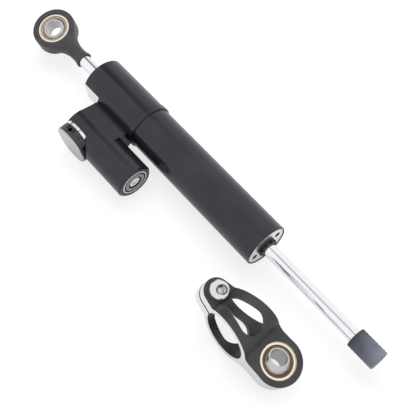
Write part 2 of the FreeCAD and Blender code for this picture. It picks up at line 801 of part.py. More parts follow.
def make_bearing(prefix, centre, race_axis, ball_axis):
    """Race, liner and tilted ball of one spherical bearing."""
    race_frame = Placement(centre, Rotation(Vector(1, 0, 0), race_axis))
    turned(prefix + "_race", [
        ("0 - race_half", "race_bore"),
        ("0 - race_half", "race_radius - race_edge"),
        ("race_edge - race_half", "race_radius"),
        ("race_half - race_edge", "race_radius"),
        ("race_half", "race_radius - race_edge"),
        ("race_half", "race_bore"),
    ], race_frame)

    upright = Placement(centre, Rotation(Vector(0, 0, 1), race_axis))
    sleeve = doc.addObject("Part::Cylinder", prefix + "_liner_sleeve")
    sleeve.setExpression("Radius", bound("liner_radius"))
    sleeve.setExpression("Height", bound("liner_half * 2"))
    sleeve.Placement = upright.multiply(Placement(Vector(0, 0, -size("liner_half")), Rotation()))
    hollow = doc.addObject("Part::Sphere", prefix + "_liner_hollow")
    hollow.setExpression("Radius", bound("ball_radius + running_fit"))
    hollow.Placement = upright
    liner = doc.addObject("Part::Cut", prefix + "_liner")
    liner.Base = sleeve
    liner.Tool = hollow
    keep(liner)

    tilted = Placement(centre, Rotation(Vector(0, 0, 1), ball_axis))
    low = Placement(Vector(0, 0, -size("ball_half")), Rotation())
    sphere = doc.addObject("Part::Sphere", prefix + "_ball_sphere")
    sphere.setExpression("Radius", bound("ball_radius"))
    sphere.Placement = tilted
    band = doc.addObject("Part::Cylinder", prefix + "_ball_band")
    band.setExpression("Radius", bound("ball_radius + edge"))
    band.setExpression("Height", bound("ball_half * 2"))
    band.Placement = tilted.multiply(low)
    trimmed = doc.addObject("Part::MultiCommon", prefix + "_ball_trimmed")
    trimmed.Shapes = [sphere, band]
    bore = doc.addObject("Part::Cylinder", prefix + "_ball_bore")
    bore.setExpression("Radius", bound("ball_bore"))
    bore.setExpression("Height", bound("ball_half * 2"))
    bore.Placement = tilted.multiply(low)
    ball = doc.addObject("Part::Cut", prefix + "_ball")
    ball.Base = trimmed
    ball.Tool = bore
    keep(ball)


def make_valve():
    """Needle valve and the spindle that turns it."""
    frame = knob_frame()
    turned("valve_seat", [
        ("valve_bottom", "seat_orifice"),
        ("valve_bottom", "valve_bore - seat_fit"),
        ("seat_top", "valve_bore - seat_fit"),
        ("seat_top", "seat_orifice + edge"),
        ("seat_top - edge", "seat_orifice"),
    ], frame)
    turned("valve_needle", [
        ("needle_tip", "0"),
        ("needle_tip", "needle_tip_radius"),
        ("needle_cone", "needle_radius"),
        ("collar_start", "needle_radius"),
        ("collar_start", "collar_radius"),
        ("collar_end", "collar_radius"),
        ("collar_end", "needle_radius"),
        ("needle_tail", "needle_radius"),
        ("needle_tail", "0"),
    ], frame)
    turned("valve_spindle", [
        ("spindle_start", "socket_radius"),
        ("spindle_start", "spindle_radius"),
        ("spindle_groove", "spindle_radius"),
        ("spindle_groove", "spindle_groove_radius"),
        ("spindle_groove + spindle_groove_width", "spindle_groove_radius"),
        ("spindle_groove + spindle_groove_width", "spindle_radius"),
        ("spindle_end", "spindle_radius"),
        ("spindle_end", "0"),
        ("socket_end", "0"),
        ("socket_end", "socket_radius"),
    ], frame)
    ring_place = size("spindle_groove + spindle_groove_width / 2")
    ring_seal("spindle_oring", "(spindle_radius + spindle_groove_radius) / 2",
              "spindle_ring_section", frame.multiply(along_x(ring_place)))
    turned("valve_gland", [
        ("gland_start", "spindle_radius + running_fit"),
        ("gland_start", "valve_bore - seat_fit"),
        ("spot_face", "valve_bore - seat_fit"),
        ("spot_face", "spindle_radius + running_fit"),
    ], frame)


def make_knob():
    """Adjuster knob with its ring, face plate, grub screw and click detent."""
    frame = knob_frame()
    ring = new_body("knob_ring", frame)
    profile = outline(new_sketch(ring, "knob_ring_profile", "XY_Plane"), [
        ("spot_face", "spindle_radius + running_fit"),
        ("spot_face", "ring_radius"),
        ("ring_face", "ring_radius"),
        ("ring_face", "spindle_radius + running_fit"),
    ])
    revolve(ring, profile)
    passage = circle(new_sketch(ring, "knob_ring_passage", "YZ_Plane", "ring_face"),
                     "click_circle", "0", "detent_radius + running_fit")
    extrude(ring, passage, "ring_face - spot_face", cut=True)
    keep(ring)

    inner = "ring_face + knob_play"
    knob = new_body("knob", frame)
    profile = outline(new_sketch(knob, "knob_profile", "XY_Plane"), [
        (inner, "spindle_radius + seat_fit"),
        (inner, "knob_radius - knob_edge"),
        (f"{inner} + knob_edge", "knob_radius"),
        ("knob_back", "knob_radius"),
        ("knob_back", "0"),
        ("spindle_end", "0"),
        ("spindle_end", "spindle_radius + seat_fit"),
    ])
    revolve(knob, profile)
    click = circle(new_sketch(knob, "knob_click", "YZ_Plane", inner),
                   "click_circle", "0", "click_radius")
    polar_pocket(knob, click, "click_depth", "clicks", flip=True)
    notch = outline(new_sketch(knob, "knob_notch", "YZ_Plane", inner, "notch_turn"), [
        ("knob_radius - notch_depth", "0 - notch_width / 2"),
        ("knob_radius + edge", "0 - notch_width / 2"),
        ("knob_radius + edge", "notch_width / 2"),
        ("knob_radius - notch_depth", "notch_width / 2"),
    ])
    polar_pocket(knob, notch, "notch_length", "notches", flip=True)
    skirt = outline(new_sketch(knob, "knob_skirt", "YZ_Plane", inner, "skirt_turn"), [
        ("skirt_root", "0"),
        ("skirt_root", "0 - skirt_facet"),
        ("skirt_facet", "0 - skirt_root"),
        ("0", "0 - skirt_root"),
        ("0", "0 - knob_radius - edge"),
        ("knob_radius + edge", "0 - knob_radius - edge"),
        ("knob_radius + edge", "0"),
    ])
    extrude(knob, skirt, "skirt_depth", cut=True, flip=True)
    grub_hole = circle(new_sketch(knob, "knob_grub_hole", "XY_Plane", "0", "notch_turn", Vector(1, 0, 0)),
                       "grub_place", "0", "grub_radius + seat_fit")
    extrude(knob, grub_hole, "knob_radius + edge", cut=True, flip=True)
    keep(knob)

    turned("knob_face", [
        ("knob_back + face_gap", "0"),
        ("knob_back + face_gap", "face_radius"),
        ("face_end - lip_edge", "face_radius"),
        ("face_end", "face_radius - lip_edge"),
        ("face_end", "0"),
    ], frame)

    between_notches = Placement(Vector(), Rotation(Vector(1, 0, 0), size("notch_turn")))
    grub = new_body("knob_grub_screw", frame.multiply(between_notches))
    shank = circle(new_sketch(grub, "grub_shank", "XY_Plane", "spindle_radius + seat_fit"),
                   "grub_place", "0", "grub_radius")
    extrude(grub, shank, "grub_length")
    hexed = hexagon(new_sketch(grub, "grub_hex", "XY_Plane",
                               "spindle_radius + seat_fit + grub_length"),
                    "grub_place", "0", "grub_socket")
    extrude(grub, hexed, "grub_socket_depth", cut=True)
    keep(grub)

    ball = doc.addObject("Part::Sphere", "detent_ball")
    ball.setExpression("Radius", bound("detent_radius"))
    outward = size("ring_face + running_fit - detent_radius")
    ball.Placement = frame.multiply(along_x(outward, size("click_circle")))
    keep(ball)
    turned("detent_spring", [
        ("detent_bottom", "detent_spring_bore"),
        ("detent_bottom", "detent_radius - running_fit"),
        ("ring_face - detent_radius * 2", "detent_radius - running_fit"),
        ("ring_face - detent_radius * 2", "detent_spring_bore"),
    ], frame.multiply(along_x(0, size("click_circle"))))


def make_reservoir():
    """Floating piston, compensator spring and plug in the reservoir barrel."""
    frame = along_x(0, -size("barrel_offset"), -size("barrel_drop"))
    slide = "barrel_bore - running_fit"
    groove = "barrel_bore - reservoir_groove_depth"
    start = "separator_start"
    end = "separator_start + separator_length"
    ring_start = "separator_start + separator_groove"
    turned("separator_piston", [
        (start, "0"),
        (start, slide),
        (ring_start, slide),
        (ring_start, groove),
        (f"{ring_start} + groove_width", groove),
        (f"{ring_start} + groove_width", slide),
        (end, slide),
        (end, "spring_radius + spring_play"),
        (f"{end} - separator_wall", "spring_radius + spring_play"),
        (f"{end} - separator_wall", "0"),
    ], frame)
    middle = "barrel_bore - reservoir_groove_depth / 2"
    ring_seal("separator_oring", middle, "reservoir_ring_section",
              frame.multiply(along_x(size(f"{ring_start} + groove_width / 2"))))
    spring_start = f"{end} - separator_wall + spring_play"
    spring_end = "plug_start - spring_play"
    turned("compensator_spring", [
        (spring_start, "spring_bore"),
        (spring_start, "spring_radius"),
        (spring_end, "spring_radius"),
        (spring_end, "spring_bore"),
    ], frame)
    face = "barrel_end - plug_recess"
    floor = "barrel_end - plug_recess - screw_recess_depth"
    seat = "barrel_bore - seat_fit"
    plug_ring = "plug_start + plug_groove"
    turned("reservoir_plug", [
        ("plug_start", "screw_radius + running_fit"),
        ("plug_start", seat),
        (plug_ring, seat),
        (plug_ring, groove),
        (f"{plug_ring} + groove_width", groove),
        (f"{plug_ring} + groove_width", seat),
        (f"{face} - plug_edge", seat),
        (face, f"{seat} - plug_edge"),
        (face, "screw_recess_radius"),
        (floor, "screw_recess_radius"),
        (floor, "screw_radius + running_fit"),
    ], frame)
    ring_seal("plug_oring", middle, "reservoir_ring_section",
              frame.multiply(along_x(size(f"{plug_ring} + groove_width / 2"))))
    screw = new_body("bleed_screw", frame)
    head = f"{floor} + seat_fit"
    top = f"{head} + screw_head_height"
    profile = outline(new_sketch(screw, "bleed_screw_profile", "XY_Plane"), [
        ("screw_start", "0"),
        ("screw_start", "screw_radius"),
        (head, "screw_radius"),
        (head, "screw_head_radius"),
        (f"{top} - plug_edge", "screw_head_radius"),
        (top, "screw_head_radius - plug_edge"),
        (top, "0"),
    ])
    revolve(screw, profile)
    socket = hexagon(new_sketch(screw, "bleed_screw_socket", "YZ_Plane", top),
                     "0", "0", "screw_socket")
    extrude(screw, socket, "screw_socket_depth", cut=True)
    keep(screw)


def make_clamp():
    """Split frame clamp: a strap ring with a window, an eye plate and two pinched ears."""
    frame = clamp_frame()
    body = new_body("clamp_bracket", frame)
    reach = "clamp_eye_radius + edge"
    plate = outline(new_sketch(body, "clamp_plate", "XZ_Plane"), [
        ("0 - clamp_ring_place", "0 - clamp_eye_half"),
        (reach, "0 - clamp_eye_half"),
        (reach, "clamp_eye_half"),
        ("0 - clamp_ring_place", "clamp_eye_half"),
    ])
    extrude(body, plate, "clamp_width", middle=True)
    band = circle(new_sketch(body, "clamp_band", "XZ_Plane"),
                  "0 - clamp_ring_place", "0", "clamp_ring_radius")
    extrude(body, band, "clamp_width", middle=True)
    ears = outline(new_sketch(body, "clamp_ears", "XZ_Plane"), [
        ("0 - ear_place - ear_radius - edge", "0 - ear_half"),
        ("0 - clamp_ring_place", "0 - ear_half"),
        ("0 - clamp_ring_place", "ear_half"),
        ("0 - ear_place - ear_radius - edge", "ear_half"),
    ])
    extrude(body, ears, "clamp_width", middle=True)
    doc.recompute()
    round_valleys(body)

    plan = new_sketch(body, "clamp_plan", "XY_Plane")
    outline(plan, [
        ("0 - through", "0 - clamp_width"),
        ("through", "0 - clamp_width"),
        ("through", "clamp_width"),
        ("0 - through", "clamp_width"),
    ], tag="q")
    outline(plan, [
        ("clamp_eye_radius", "0", "clamp_eye_radius"),
        ("0 - eye_shoulder", "eye_shoulder_width", "-waist_arc"),
        ("0 - waist_place", "waist_width", "strap_arc"),
        ("0 - ear_root", "ear_root_width", "ear_radius"),
        ("0 - ear_place - ear_radius", "0", "ear_radius"),
        ("0 - ear_root", "0 - ear_root_width", "strap_arc"),
        ("0 - waist_place", "0 - waist_width", "-waist_arc"),
        ("0 - eye_shoulder", "0 - eye_shoulder_width", "clamp_eye_radius"),
    ])
    extrude(body, plan, "through", cut=True, middle=True)
    tube_hole = circle(new_sketch(body, "clamp_tube_hole", "XZ_Plane"),
                       "0 - clamp_ring_place", "0", "clamp_ring_bore")
    extrude(body, tube_hole, "clamp_width", cut=True, middle=True)
    relief = circle(new_sketch(body, "clamp_relief", "XZ_Plane"),
                    "0 - clamp_ring_place", "0", "clamp_ring_bore + clamp_relief_depth")
    extrude(body, relief, "clamp_relief_width", cut=True, middle=True)
    slit = outline(new_sketch(body, "clamp_slit", "XZ_Plane"), [
        ("0 - through", "0 - slit_half"),
        ("0 - slit_start", "0 - slit_half"),
        ("0 - slit_start", "slit_half"),
        ("0 - through", "slit_half"),
    ])
    extrude(body, slit, "clamp_width", cut=True, middle=True)
    cut_window(body)
    spot = circle(new_sketch(body, "clamp_spot_face", "XY_Plane", "ear_half"),
                  "0 - ear_place", "0", "bolt_head_radius + edge")
    extrude(body, spot, "clamp_ring_radius", cut=True, flip=True)
    bolt_hole = circle(new_sketch(body, "clamp_bolt_hole", "XY_Plane"),
                       "0 - ear_place", "0", "bolt_radius + bolt_play")
    extrude(body, bolt_hole, "through", cut=True, middle=True)
    race_hole = circle(new_sketch(body, "clamp_race_hole", "XY_Plane"),
                       "0", "0", "race_radius + seat_fit")
    extrude(body, race_hole, "through", cut=True, middle=True)
    keep(body)


def round_valleys(body):
    """Fillet the inside corners where the strap ring meets the eye plate and the ears."""
    ring = size("clamp_ring_radius")
    for label, radius, side, height in (
        ("clamp_eye_valley", "valley_fillet", 1, size("clamp_eye_half")),
        ("clamp_ear_valley", "ear_fillet", -1, size("ear_half")),
    ):
        corner = side * math.sqrt(ring * ring - height * height) - size("clamp_ring_place")
        base = body.Tip
        found = []
        for number, edge in enumerate(base.Shape.Edges, start=1):
            middle = edge.CenterOfMass
            if max(abs(middle.x - corner), abs(abs(middle.z) - height)) < size("match"):
                found.append(f"Edge{number}")
        fillet = body.newObject("PartDesign::Fillet", label)
        fillet.Base = (base, found)
        fillet.Radius = size(radius)
        fillet.setExpression("Radius", bound(radius))
        doc.recompute()


def cut_window(body):
    """One teardrop window through both straps, wide towards the eye."""
    wide, narrow = size("window_radius"), size("window_tip_radius")
    lean = (wide - narrow) / (size("window_tip_place") - size("window_place"))
    rise = math.sqrt(1 - lean * lean)
    window = new_sketch(body, "clamp_window", "XY_Plane")
    outline(window, [
        ("window_radius - window_place", "0", "window_radius"),
        (f"0 - window_place - window_radius * {lean:.9f}", f"window_radius * {rise:.9f}"),
        (f"0 - window_tip_place - window_tip_radius * {lean:.9f}",
         f"window_tip_radius * {rise:.9f}", "window_tip_radius"),
        ("0 - window_tip_place - window_tip_radius", "0", "window_tip_radius"),
        (f"0 - window_tip_place - window_tip_radius * {lean:.9f}",
         f"0 - window_tip_radius * {rise:.9f}"),
        (f"0 - window_place - window_radius * {lean:.9f}",
         f"0 - window_radius * {rise:.9f}", "window_radius"),
    ])
    extrude(body, window, "through", cut=True, middle=True)


def make_pinch_bolt():
    frame = clamp_frame().multiply(along_x(-size("ear_place")))
    bolt = new_body("pinch_bolt", frame)
    seat = "ear_half + seat_fit"
    top = f"{seat} + bolt_head_height"
    profile = outline(new_sketch(bolt, "pinch_bolt_profile", "XZ_Plane"), [
        ("0", "0 - bolt_tip"),
        ("bolt_radius - edge", "0 - bolt_tip"),
        ("bolt_radius", "edge - bolt_tip"),
        ("bolt_radius", seat),
        ("bolt_head_radius", seat),
        ("bolt_head_radius", f"{top} - edge"),
        ("bolt_head_radius - edge", top),
        ("0", top),
    ])
    revolve(bolt, profile, axis="V_Axis")
    socket = hexagon(new_sketch(bolt, "pinch_bolt_socket", "XY_Plane", top),
                     "0", "0", "bolt_socket")
    extrude(bolt, socket, "bolt_socket_depth", cut=True)
    keep(bolt)


def check_everything():
    """Stop if any object failed or any sub-part has a bad shape."""
    for item in doc.Objects:
        if "Invalid" in item.State or "Error" in item.State:
            raise RuntimeError(f"{item.Name} failed: {item.State}")
    for piece in nodes:
        if piece.Shape.isNull() or not piece.Shape.isValid() or not piece.Shape.Solids:
            raise RuntimeError(f"{piece.Label} has no valid solid")


def write_parts():
    os.makedirs("parts", exist_ok=True)
    for piece in nodes:
        piece.Shape.exportStep(f"parts/{piece.Label}.step")
        box = piece.Shape.BoundBox
        print(f"{piece.Label:20s} solids {len(piece.Shape.Solids)} volume {piece.Shape.Volume:9.1f}"
              f" x {box.XMin:7.2f} {box.XMax:7.2f} y {box.YMin:7.2f} {box.YMax:7.2f}"
              f" z {box.ZMin:7.2f} {box.ZMax:7.2f}")


fill_sheet()
make_head_block()
make_tube()
make_end_cap()
make_rod_guides()
make_rod_and_piston()
make_rod_eye()
eye_axis = Rotation(Vector(1, 0, 0), size("eye_tilt")).multVec(Vector(0, 0, 1))
make_bearing("rod", Vector(), eye_axis, ROD_BALL_AXIS)
make_valve()
make_knob()
make_reservoir()
make_clamp()
make_pinch_bolt()
clamp = clamp_frame()
make_bearing("clamp", clamp.Base, clamp.Rotation.multVec(Vector(0, 0, 1)), CLAMP_BALL_AXIS)
doc.recompute()
check_everything()
write_parts()
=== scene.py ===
"""Looks of the steering damper and its loose frame clamp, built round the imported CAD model."""
import json
import math

import bmesh
import bpy
from mathutils import Matrix, Vector


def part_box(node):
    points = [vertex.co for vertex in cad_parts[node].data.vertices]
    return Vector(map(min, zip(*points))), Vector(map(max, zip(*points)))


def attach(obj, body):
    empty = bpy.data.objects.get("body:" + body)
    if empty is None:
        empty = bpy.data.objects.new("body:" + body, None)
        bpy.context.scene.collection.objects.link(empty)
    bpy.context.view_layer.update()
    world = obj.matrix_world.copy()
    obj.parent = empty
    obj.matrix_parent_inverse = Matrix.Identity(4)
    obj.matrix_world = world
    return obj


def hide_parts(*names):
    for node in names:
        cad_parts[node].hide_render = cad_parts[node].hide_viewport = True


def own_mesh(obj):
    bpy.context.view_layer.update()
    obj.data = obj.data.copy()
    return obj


bl_info = {
    "name": "Steering Damper",
    "version": (1, 0, 0),
    "blender": (4, 5, 0),
    "location": "View3D > Sidebar > Damper",
    "description": "Finishes and fine parts of a steering damper with a loose frame clamp",
    "category": "Object",
}

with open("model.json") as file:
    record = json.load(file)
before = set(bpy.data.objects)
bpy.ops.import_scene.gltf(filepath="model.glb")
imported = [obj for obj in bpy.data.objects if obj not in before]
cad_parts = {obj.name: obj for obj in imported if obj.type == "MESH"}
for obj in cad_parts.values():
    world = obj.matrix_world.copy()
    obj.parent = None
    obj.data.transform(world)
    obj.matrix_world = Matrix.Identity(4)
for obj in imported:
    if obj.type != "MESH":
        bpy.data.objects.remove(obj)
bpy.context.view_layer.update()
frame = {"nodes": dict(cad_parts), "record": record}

X_AXIS = Vector((1.0, 0.0, 0.0))
Y_AXIS = Vector((0.0, 1.0, 0.0))
Z_AXIS = Vector((0.0, 0.0, 1.0))


def middle(node):
    """The centre of a CAD node's box."""
    low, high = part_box(node)
    return (low + high) / 2


def mount_axis(name):
    """The direction of one of the record's mounts."""
    found = [mount for mount in frame["record"]["mounts"] if mount["name"] == name]
    return Vector(found[0]["axis"]).normalized()


# How the loose clamp lies, and the axis of the rod's eye.
CLAMP_TURN = Matrix.Rotation(math.radians(3.5), 3, "Z")
CLAMP_TILT = Matrix.Rotation(math.radians(18.0), 3, "Y")
CLAMP_ROLL = Matrix.Rotation(math.radians(-7.5), 3, "X")
CLAMP_FRAME = CLAMP_TURN @ CLAMP_TILT @ CLAMP_ROLL
EYE_TILT = math.radians(10.14)
EYE_AXIS = Vector((0.0, -math.sin(EYE_TILT), math.cos(EYE_TILT)))
OUTWARD = -Y_AXIS
ROD_LINE = Vector((0.0, 0.0, 0.0))
RESERVOIR_LINE = Vector((0.0, middle("bleed_screw").y, middle("bleed_screw").z))
KNOB_LINE = Vector((middle("knob_face").x, 0.0, middle("knob_face").z))
ROD_EYE_POINT = middle("rod_race")
CLAMP_EYE_POINT = middle("clamp_race")

# Pin holes in the face of the end cap, on a circle round the rod.
PIN_CIRCLE = 0.0089
PIN_TURN = math.radians(16.8)
PIN_HOLE = Vector((0.0, PIN_CIRCLE * math.cos(PIN_TURN), PIN_CIRCLE * math.sin(PIN_TURN)))
PIN_HOLES = (-PIN_HOLE, PIN_HOLE)
PIN_HOLE_RADIUS = 0.00175
# The pin holes and a thin rim round them get painted shade in this near black, without metal.
PIN_SHADE_RADIUS = PIN_HOLE_RADIUS * 1.06
PIN_HOLE_SHADE = (0.004, 0.004, 0.005)

# Radius round a screw's axis within which its hexagon socket gets painted shade.
BOLT_SOCKET = 0.00292
SCREW_SOCKET = 0.00115

# Such a socket's floor as a share of that radius, the painted shade of its wall, and the
# share of that painted shade that its floor loses.
SOCKET_FLOOR = 0.62
WALL_SHADE = 0.75
FLOOR_GLEAM = 0.8

# The head's milled side: its place across the tube, and where it ends along it.
SIDE_CUT = -0.0124
SIDE_CUT_END = 0.0629

# The clamp's window and the start of its ears, along the clamp from its eye.
WINDOW_MIDDLE = -0.03015
WINDOW_REACH = 0.01225
WINDOW_SIDE = 0.0081
EARS_START = -0.047

# How far the normal of an upright wall leans at most, and of a side wall turns at least.
WALL_LEAN = 0.08
SIDE_TURN = 0.05

# Gaps too thin to see: between surfaces that would coincide, and under the object.
HAIR = 0.00002
TABLE_HAIR = 0.0001

# One ring of the cap: share of its pitch, and share of the groove's depth.
CAP_RING = ((0.30, 0.0), (0.50, 0.5), (0.62, 1.0), (0.74, 1.0), (0.86, 0.5), (1.0, 0.0))
CAP_BEVEL = 0.3

# Face of the reservoir plug: share of its radius where a band starts, and its lightness.
# The black bands are painted shade round the screw and in the groove round the face, and
# the last, bright band is a painted highlight on the edge.
PLUG_SHADE_AND_HIGHLIGHT_BANDS = ((0.0, 0.0), (0.20, 0.0), (0.53, 1.0), (0.76, 0.0), (0.89, 2.6))

# Steps round one turn of a spring, and sides of its wire.
COIL_STEPS = 28
WIRE_SIDES = 10

# Ranges that most of a noise lies in, for crisp grain and for soft clouds.
GRAIN_RANGE = (0.3, 0.7)
CLOUD_RANGE = (0.35, 0.65)

# Shares of a colour in its deepest and its palest clouds.
DEEP, PALE, GLOSS_PALE = 0.8, 1.3, 1.35

# Light of the room in reflections, by direction. The first two run from the -Y side over to
# the +Y side, above rod and tube and above the head. The edge parts them along X, and the
# reach says from the -X side to the +X side where the dark gap is there at all.
ROD_GAP = ((0.0, 1.0), (0.47, 0.95), (0.52, 0.28), (0.58, 0.20), (0.62, 0.9), (1.0, 1.0))
HEAD_GAP = ((0.0, 1.0), (0.59, 0.95), (0.64, 0.22), (0.74, 0.12), (0.83, 0.8), (1.0, 1.0))
HEAD_GAP_EDGE = (-0.460, -0.445)
GAP_REACH = ((0.0, 1.0), (0.270, 1.0), (0.277, 0.0), (0.362, 0.0), (0.368, 1.0), (0.47, 1.0),
             (0.50, 0.0), (1.0, 0.0))
WHITE = (1.0, 1.0, 1.0)
ROOM_WHITE = (1.0, 1.0, 1.02)
TABLE_CLOTH = 0.9
CAMERA_CLIP = (0.01, 20.0)


class DamperSizes(bpy.types.PropertyGroup):
    """Sizes of the fine parts that are added to the CAD model."""

    cap_rings: bpy.props.IntProperty(
        name="Cap rings", description="Shallow rings round the rubber cap", default=7, min=2)
    cap_ring_depth: bpy.props.FloatProperty(
        name="Cap ring depth", description="Depth of the grooves between the rings",
        default=0.00012, unit="LENGTH")
    cap_corner: bpy.props.FloatProperty(
        name="Cap corner", description="Rounding of the rubber cap's two ends",
        default=0.0006, unit="LENGTH")
    spring_turns: bpy.props.IntProperty(
        name="Spring turns", description="Turns of the reservoir's spring", default=6, min=2)
    spring_wire: bpy.props.FloatProperty(
        name="Spring wire", description="Diameter of the reservoir spring's wire",
        default=0.0013, unit="LENGTH")
    click_turns: bpy.props.IntProperty(
        name="Click spring turns", description="Turns of the click ball's spring", default=5, min=2)
    click_wire: bpy.props.FloatProperty(
        name="Click wire", description="Diameter of the click spring's wire",
        default=0.0005, unit="LENGTH")


class DamperColours(bpy.types.PropertyGroup):
    """Colours of the finishes, as they are under plain light."""

    gloss_black: bpy.props.FloatVectorProperty(
        name="Gloss black", description="Dyed anodising of the tube and head",
        default=(0.0125, 0.0148, 0.0205), size=3, subtype="COLOR")
    satin_black: bpy.props.FloatVectorProperty(
        name="Satin black", description="Blasted and dyed knob and clamp",
        default=(0.035, 0.034, 0.038), size=3, subtype="COLOR")
    forged_black: bpy.props.FloatVectorProperty(
        name="Forged black", description="Coating of the rod eye",
        default=(0.040, 0.038, 0.045), size=3, subtype="COLOR")
    bare_alloy: bpy.props.FloatVectorProperty(
        name="Bare alloy", description="Machined aluminium", default=(0.86, 0.86, 0.87),
        size=3, subtype="COLOR")
    grey_alloy: bpy.props.FloatVectorProperty(
        name="Grey alloy", description="Reservoir plug", default=(0.34, 0.34, 0.35), size=3,
        subtype="COLOR")
    face_alloy: bpy.props.FloatVectorProperty(
        name="Face alloy", description="Turned face of the knob", default=(0.57, 0.57, 0.58),
        size=3, subtype="COLOR")
    chrome: bpy.props.FloatVectorProperty(
        name="Chrome", description="Plated rod and the ring behind the knob",
        default=(0.93, 0.935, 0.96), size=3, subtype="COLOR")
    zinc: bpy.props.FloatVectorProperty(
        name="Zinc", description="Plated pinch bolt, needle and spindle",
        default=(0.82, 0.82, 0.80), size=3, subtype="COLOR")
    bright_zinc: bpy.props.FloatVectorProperty(
        name="Bright zinc", description="Polished reservoir screw", default=(1.0, 1.0, 1.0), size=3,
        subtype="COLOR")
    ball_steel: bpy.props.FloatVectorProperty(
        name="Ball steel", description="Ground balls", default=(0.60, 0.575, 0.58), size=3,
        subtype="COLOR")
    pale_gold: bpy.props.FloatVectorProperty(
        name="Pale gold", description="Passivated races", default=(1.0, 0.91, 0.70), size=3,
        subtype="COLOR")
    liner_brown: bpy.props.FloatVectorProperty(
        name="Liner brown", description="Woven liner of the clamp", default=(0.15, 0.105, 0.065),
        size=3, subtype="COLOR")
    liner_beige: bpy.props.FloatVectorProperty(
        name="Liner beige", description="Woven liner of the rod eye", default=(0.42, 0.36, 0.30),
        size=3, subtype="COLOR")
    bronze: bpy.props.FloatVectorProperty(
        name="Bronze", description="Sintered bushes", default=(0.55, 0.33, 0.14), size=3,
        subtype="COLOR")
    black_rubber: bpy.props.FloatVectorProperty(
        name="Black rubber", description="Seals", default=(0.012, 0.012, 0.012), size=3,
        subtype="COLOR")
    rubber_bloom: bpy.props.FloatVectorProperty(
        name="Rubber bloom", description="Bloom on the closed end of the cap",
        default=(0.225, 0.235, 0.30), size=3, subtype="COLOR")
    grey_rubber: bpy.props.FloatVectorProperty(
        name="Grey rubber", description="Cap on the rod", default=(0.075, 0.077, 0.09), size=3,
        subtype="COLOR")
    wear_band: bpy.props.FloatVectorProperty(
        name="Wear band", description="Filled plastic band", default=(0.35, 0.27, 0.14), size=3,
        subtype="COLOR")
    spring_steel: bpy.props.FloatVectorProperty(
        name="Spring steel", description="Springs and clips", default=(0.30, 0.30, 0.32), size=3,
        subtype="COLOR")


class DamperStudio(bpy.types.PropertyGroup):
    """The camera and the light."""

    camera_place: bpy.props.FloatVectorProperty(
        name="Camera place", description="Where the camera stands",
        default=(0.32842, -0.13342, 0.44523), size=3, subtype="TRANSLATION", unit="LENGTH")
    camera_right: bpy.props.FloatVectorProperty(
        name="Camera right", description="Direction to the right of the picture",
        default=(0.65135633, 0.75768603, -0.04058097), size=3, subtype="DIRECTION")
    camera_back: bpy.props.FloatVectorProperty(
        name="Camera back", description="Direction from the object to the camera",
        default=(0.34910341, -0.25176807, 0.9026293), size=3, subtype="DIRECTION")
    focal_pixels: bpy.props.FloatProperty(
        name="Focal length", description="Focal length in pixels of the picture", default=856.17)
    picture_side: bpy.props.FloatProperty(
        name="Picture side", description="Longer side of the picture in pixels", default=408.0)
    floor_height: bpy.props.FloatProperty(
        name="Floor height", description="Height of the table", default=-0.015, unit="LENGTH")
    floor_reach: bpy.props.FloatProperty(
        name="Floor reach", description="Half the side of the table", default=3.0, unit="LENGTH")
    floor_shade: bpy.props.FloatProperty(
        name="Floor shade", description="Share of the real shadow that the white table shows",
        default=0.30, subtype="FACTOR", min=0.0, max=1.0)
    floor_white: bpy.props.FloatProperty(
        name="Floor white", description="White that the table keeps within a shadow",
        default=0.76, subtype="FACTOR", min=0.0, max=1.0)
    floor_gleam: bpy.props.FloatProperty(
        name="Floor gleam", description="White of the table in the object's reflections",
        default=1.0)
    gleam_share: bpy.props.FloatProperty(
        name="Gleam share", description="Share of that white over the table's real light",
        default=0.4, subtype="FACTOR", min=0.0, max=1.0)
    sky_level: bpy.props.FloatProperty(
        name="Sky level", description="Soft light from all round", default=0.62)
    key_place: bpy.props.FloatVectorProperty(
        name="Key place", description="Where the large soft lamp hangs",
        default=(-0.3, 0.5, 1.0), size=3, subtype="TRANSLATION", unit="LENGTH")
    key_target: bpy.props.FloatVectorProperty(
        name="Key target", description="The point that the lamp faces",
        default=(0.12, -0.02, 0.0), size=3, subtype="TRANSLATION", unit="LENGTH")
    key_side: bpy.props.FloatProperty(
        name="Key side", description="Side of the large soft lamp", default=1.0, unit="LENGTH")
    key_level: bpy.props.FloatProperty(
        name="Key level", description="Power of the large soft lamp in watts", default=9.0)


def sizes():
    return bpy.context.scene.damper_sizes


def colours():
    return bpy.context.scene.damper_colours


def studio():
    return bpy.context.scene.damper_studio


def rgba(colour, share=1.0):
    return (colour[0] * share, colour[1] * share, colour[2] * share, 1.0)


def shades(colour, stops):
    """Stops of a ramp, from places and levels, in shades of one colour."""
    return [(place, rgba(colour, level)) for place, level in stops]


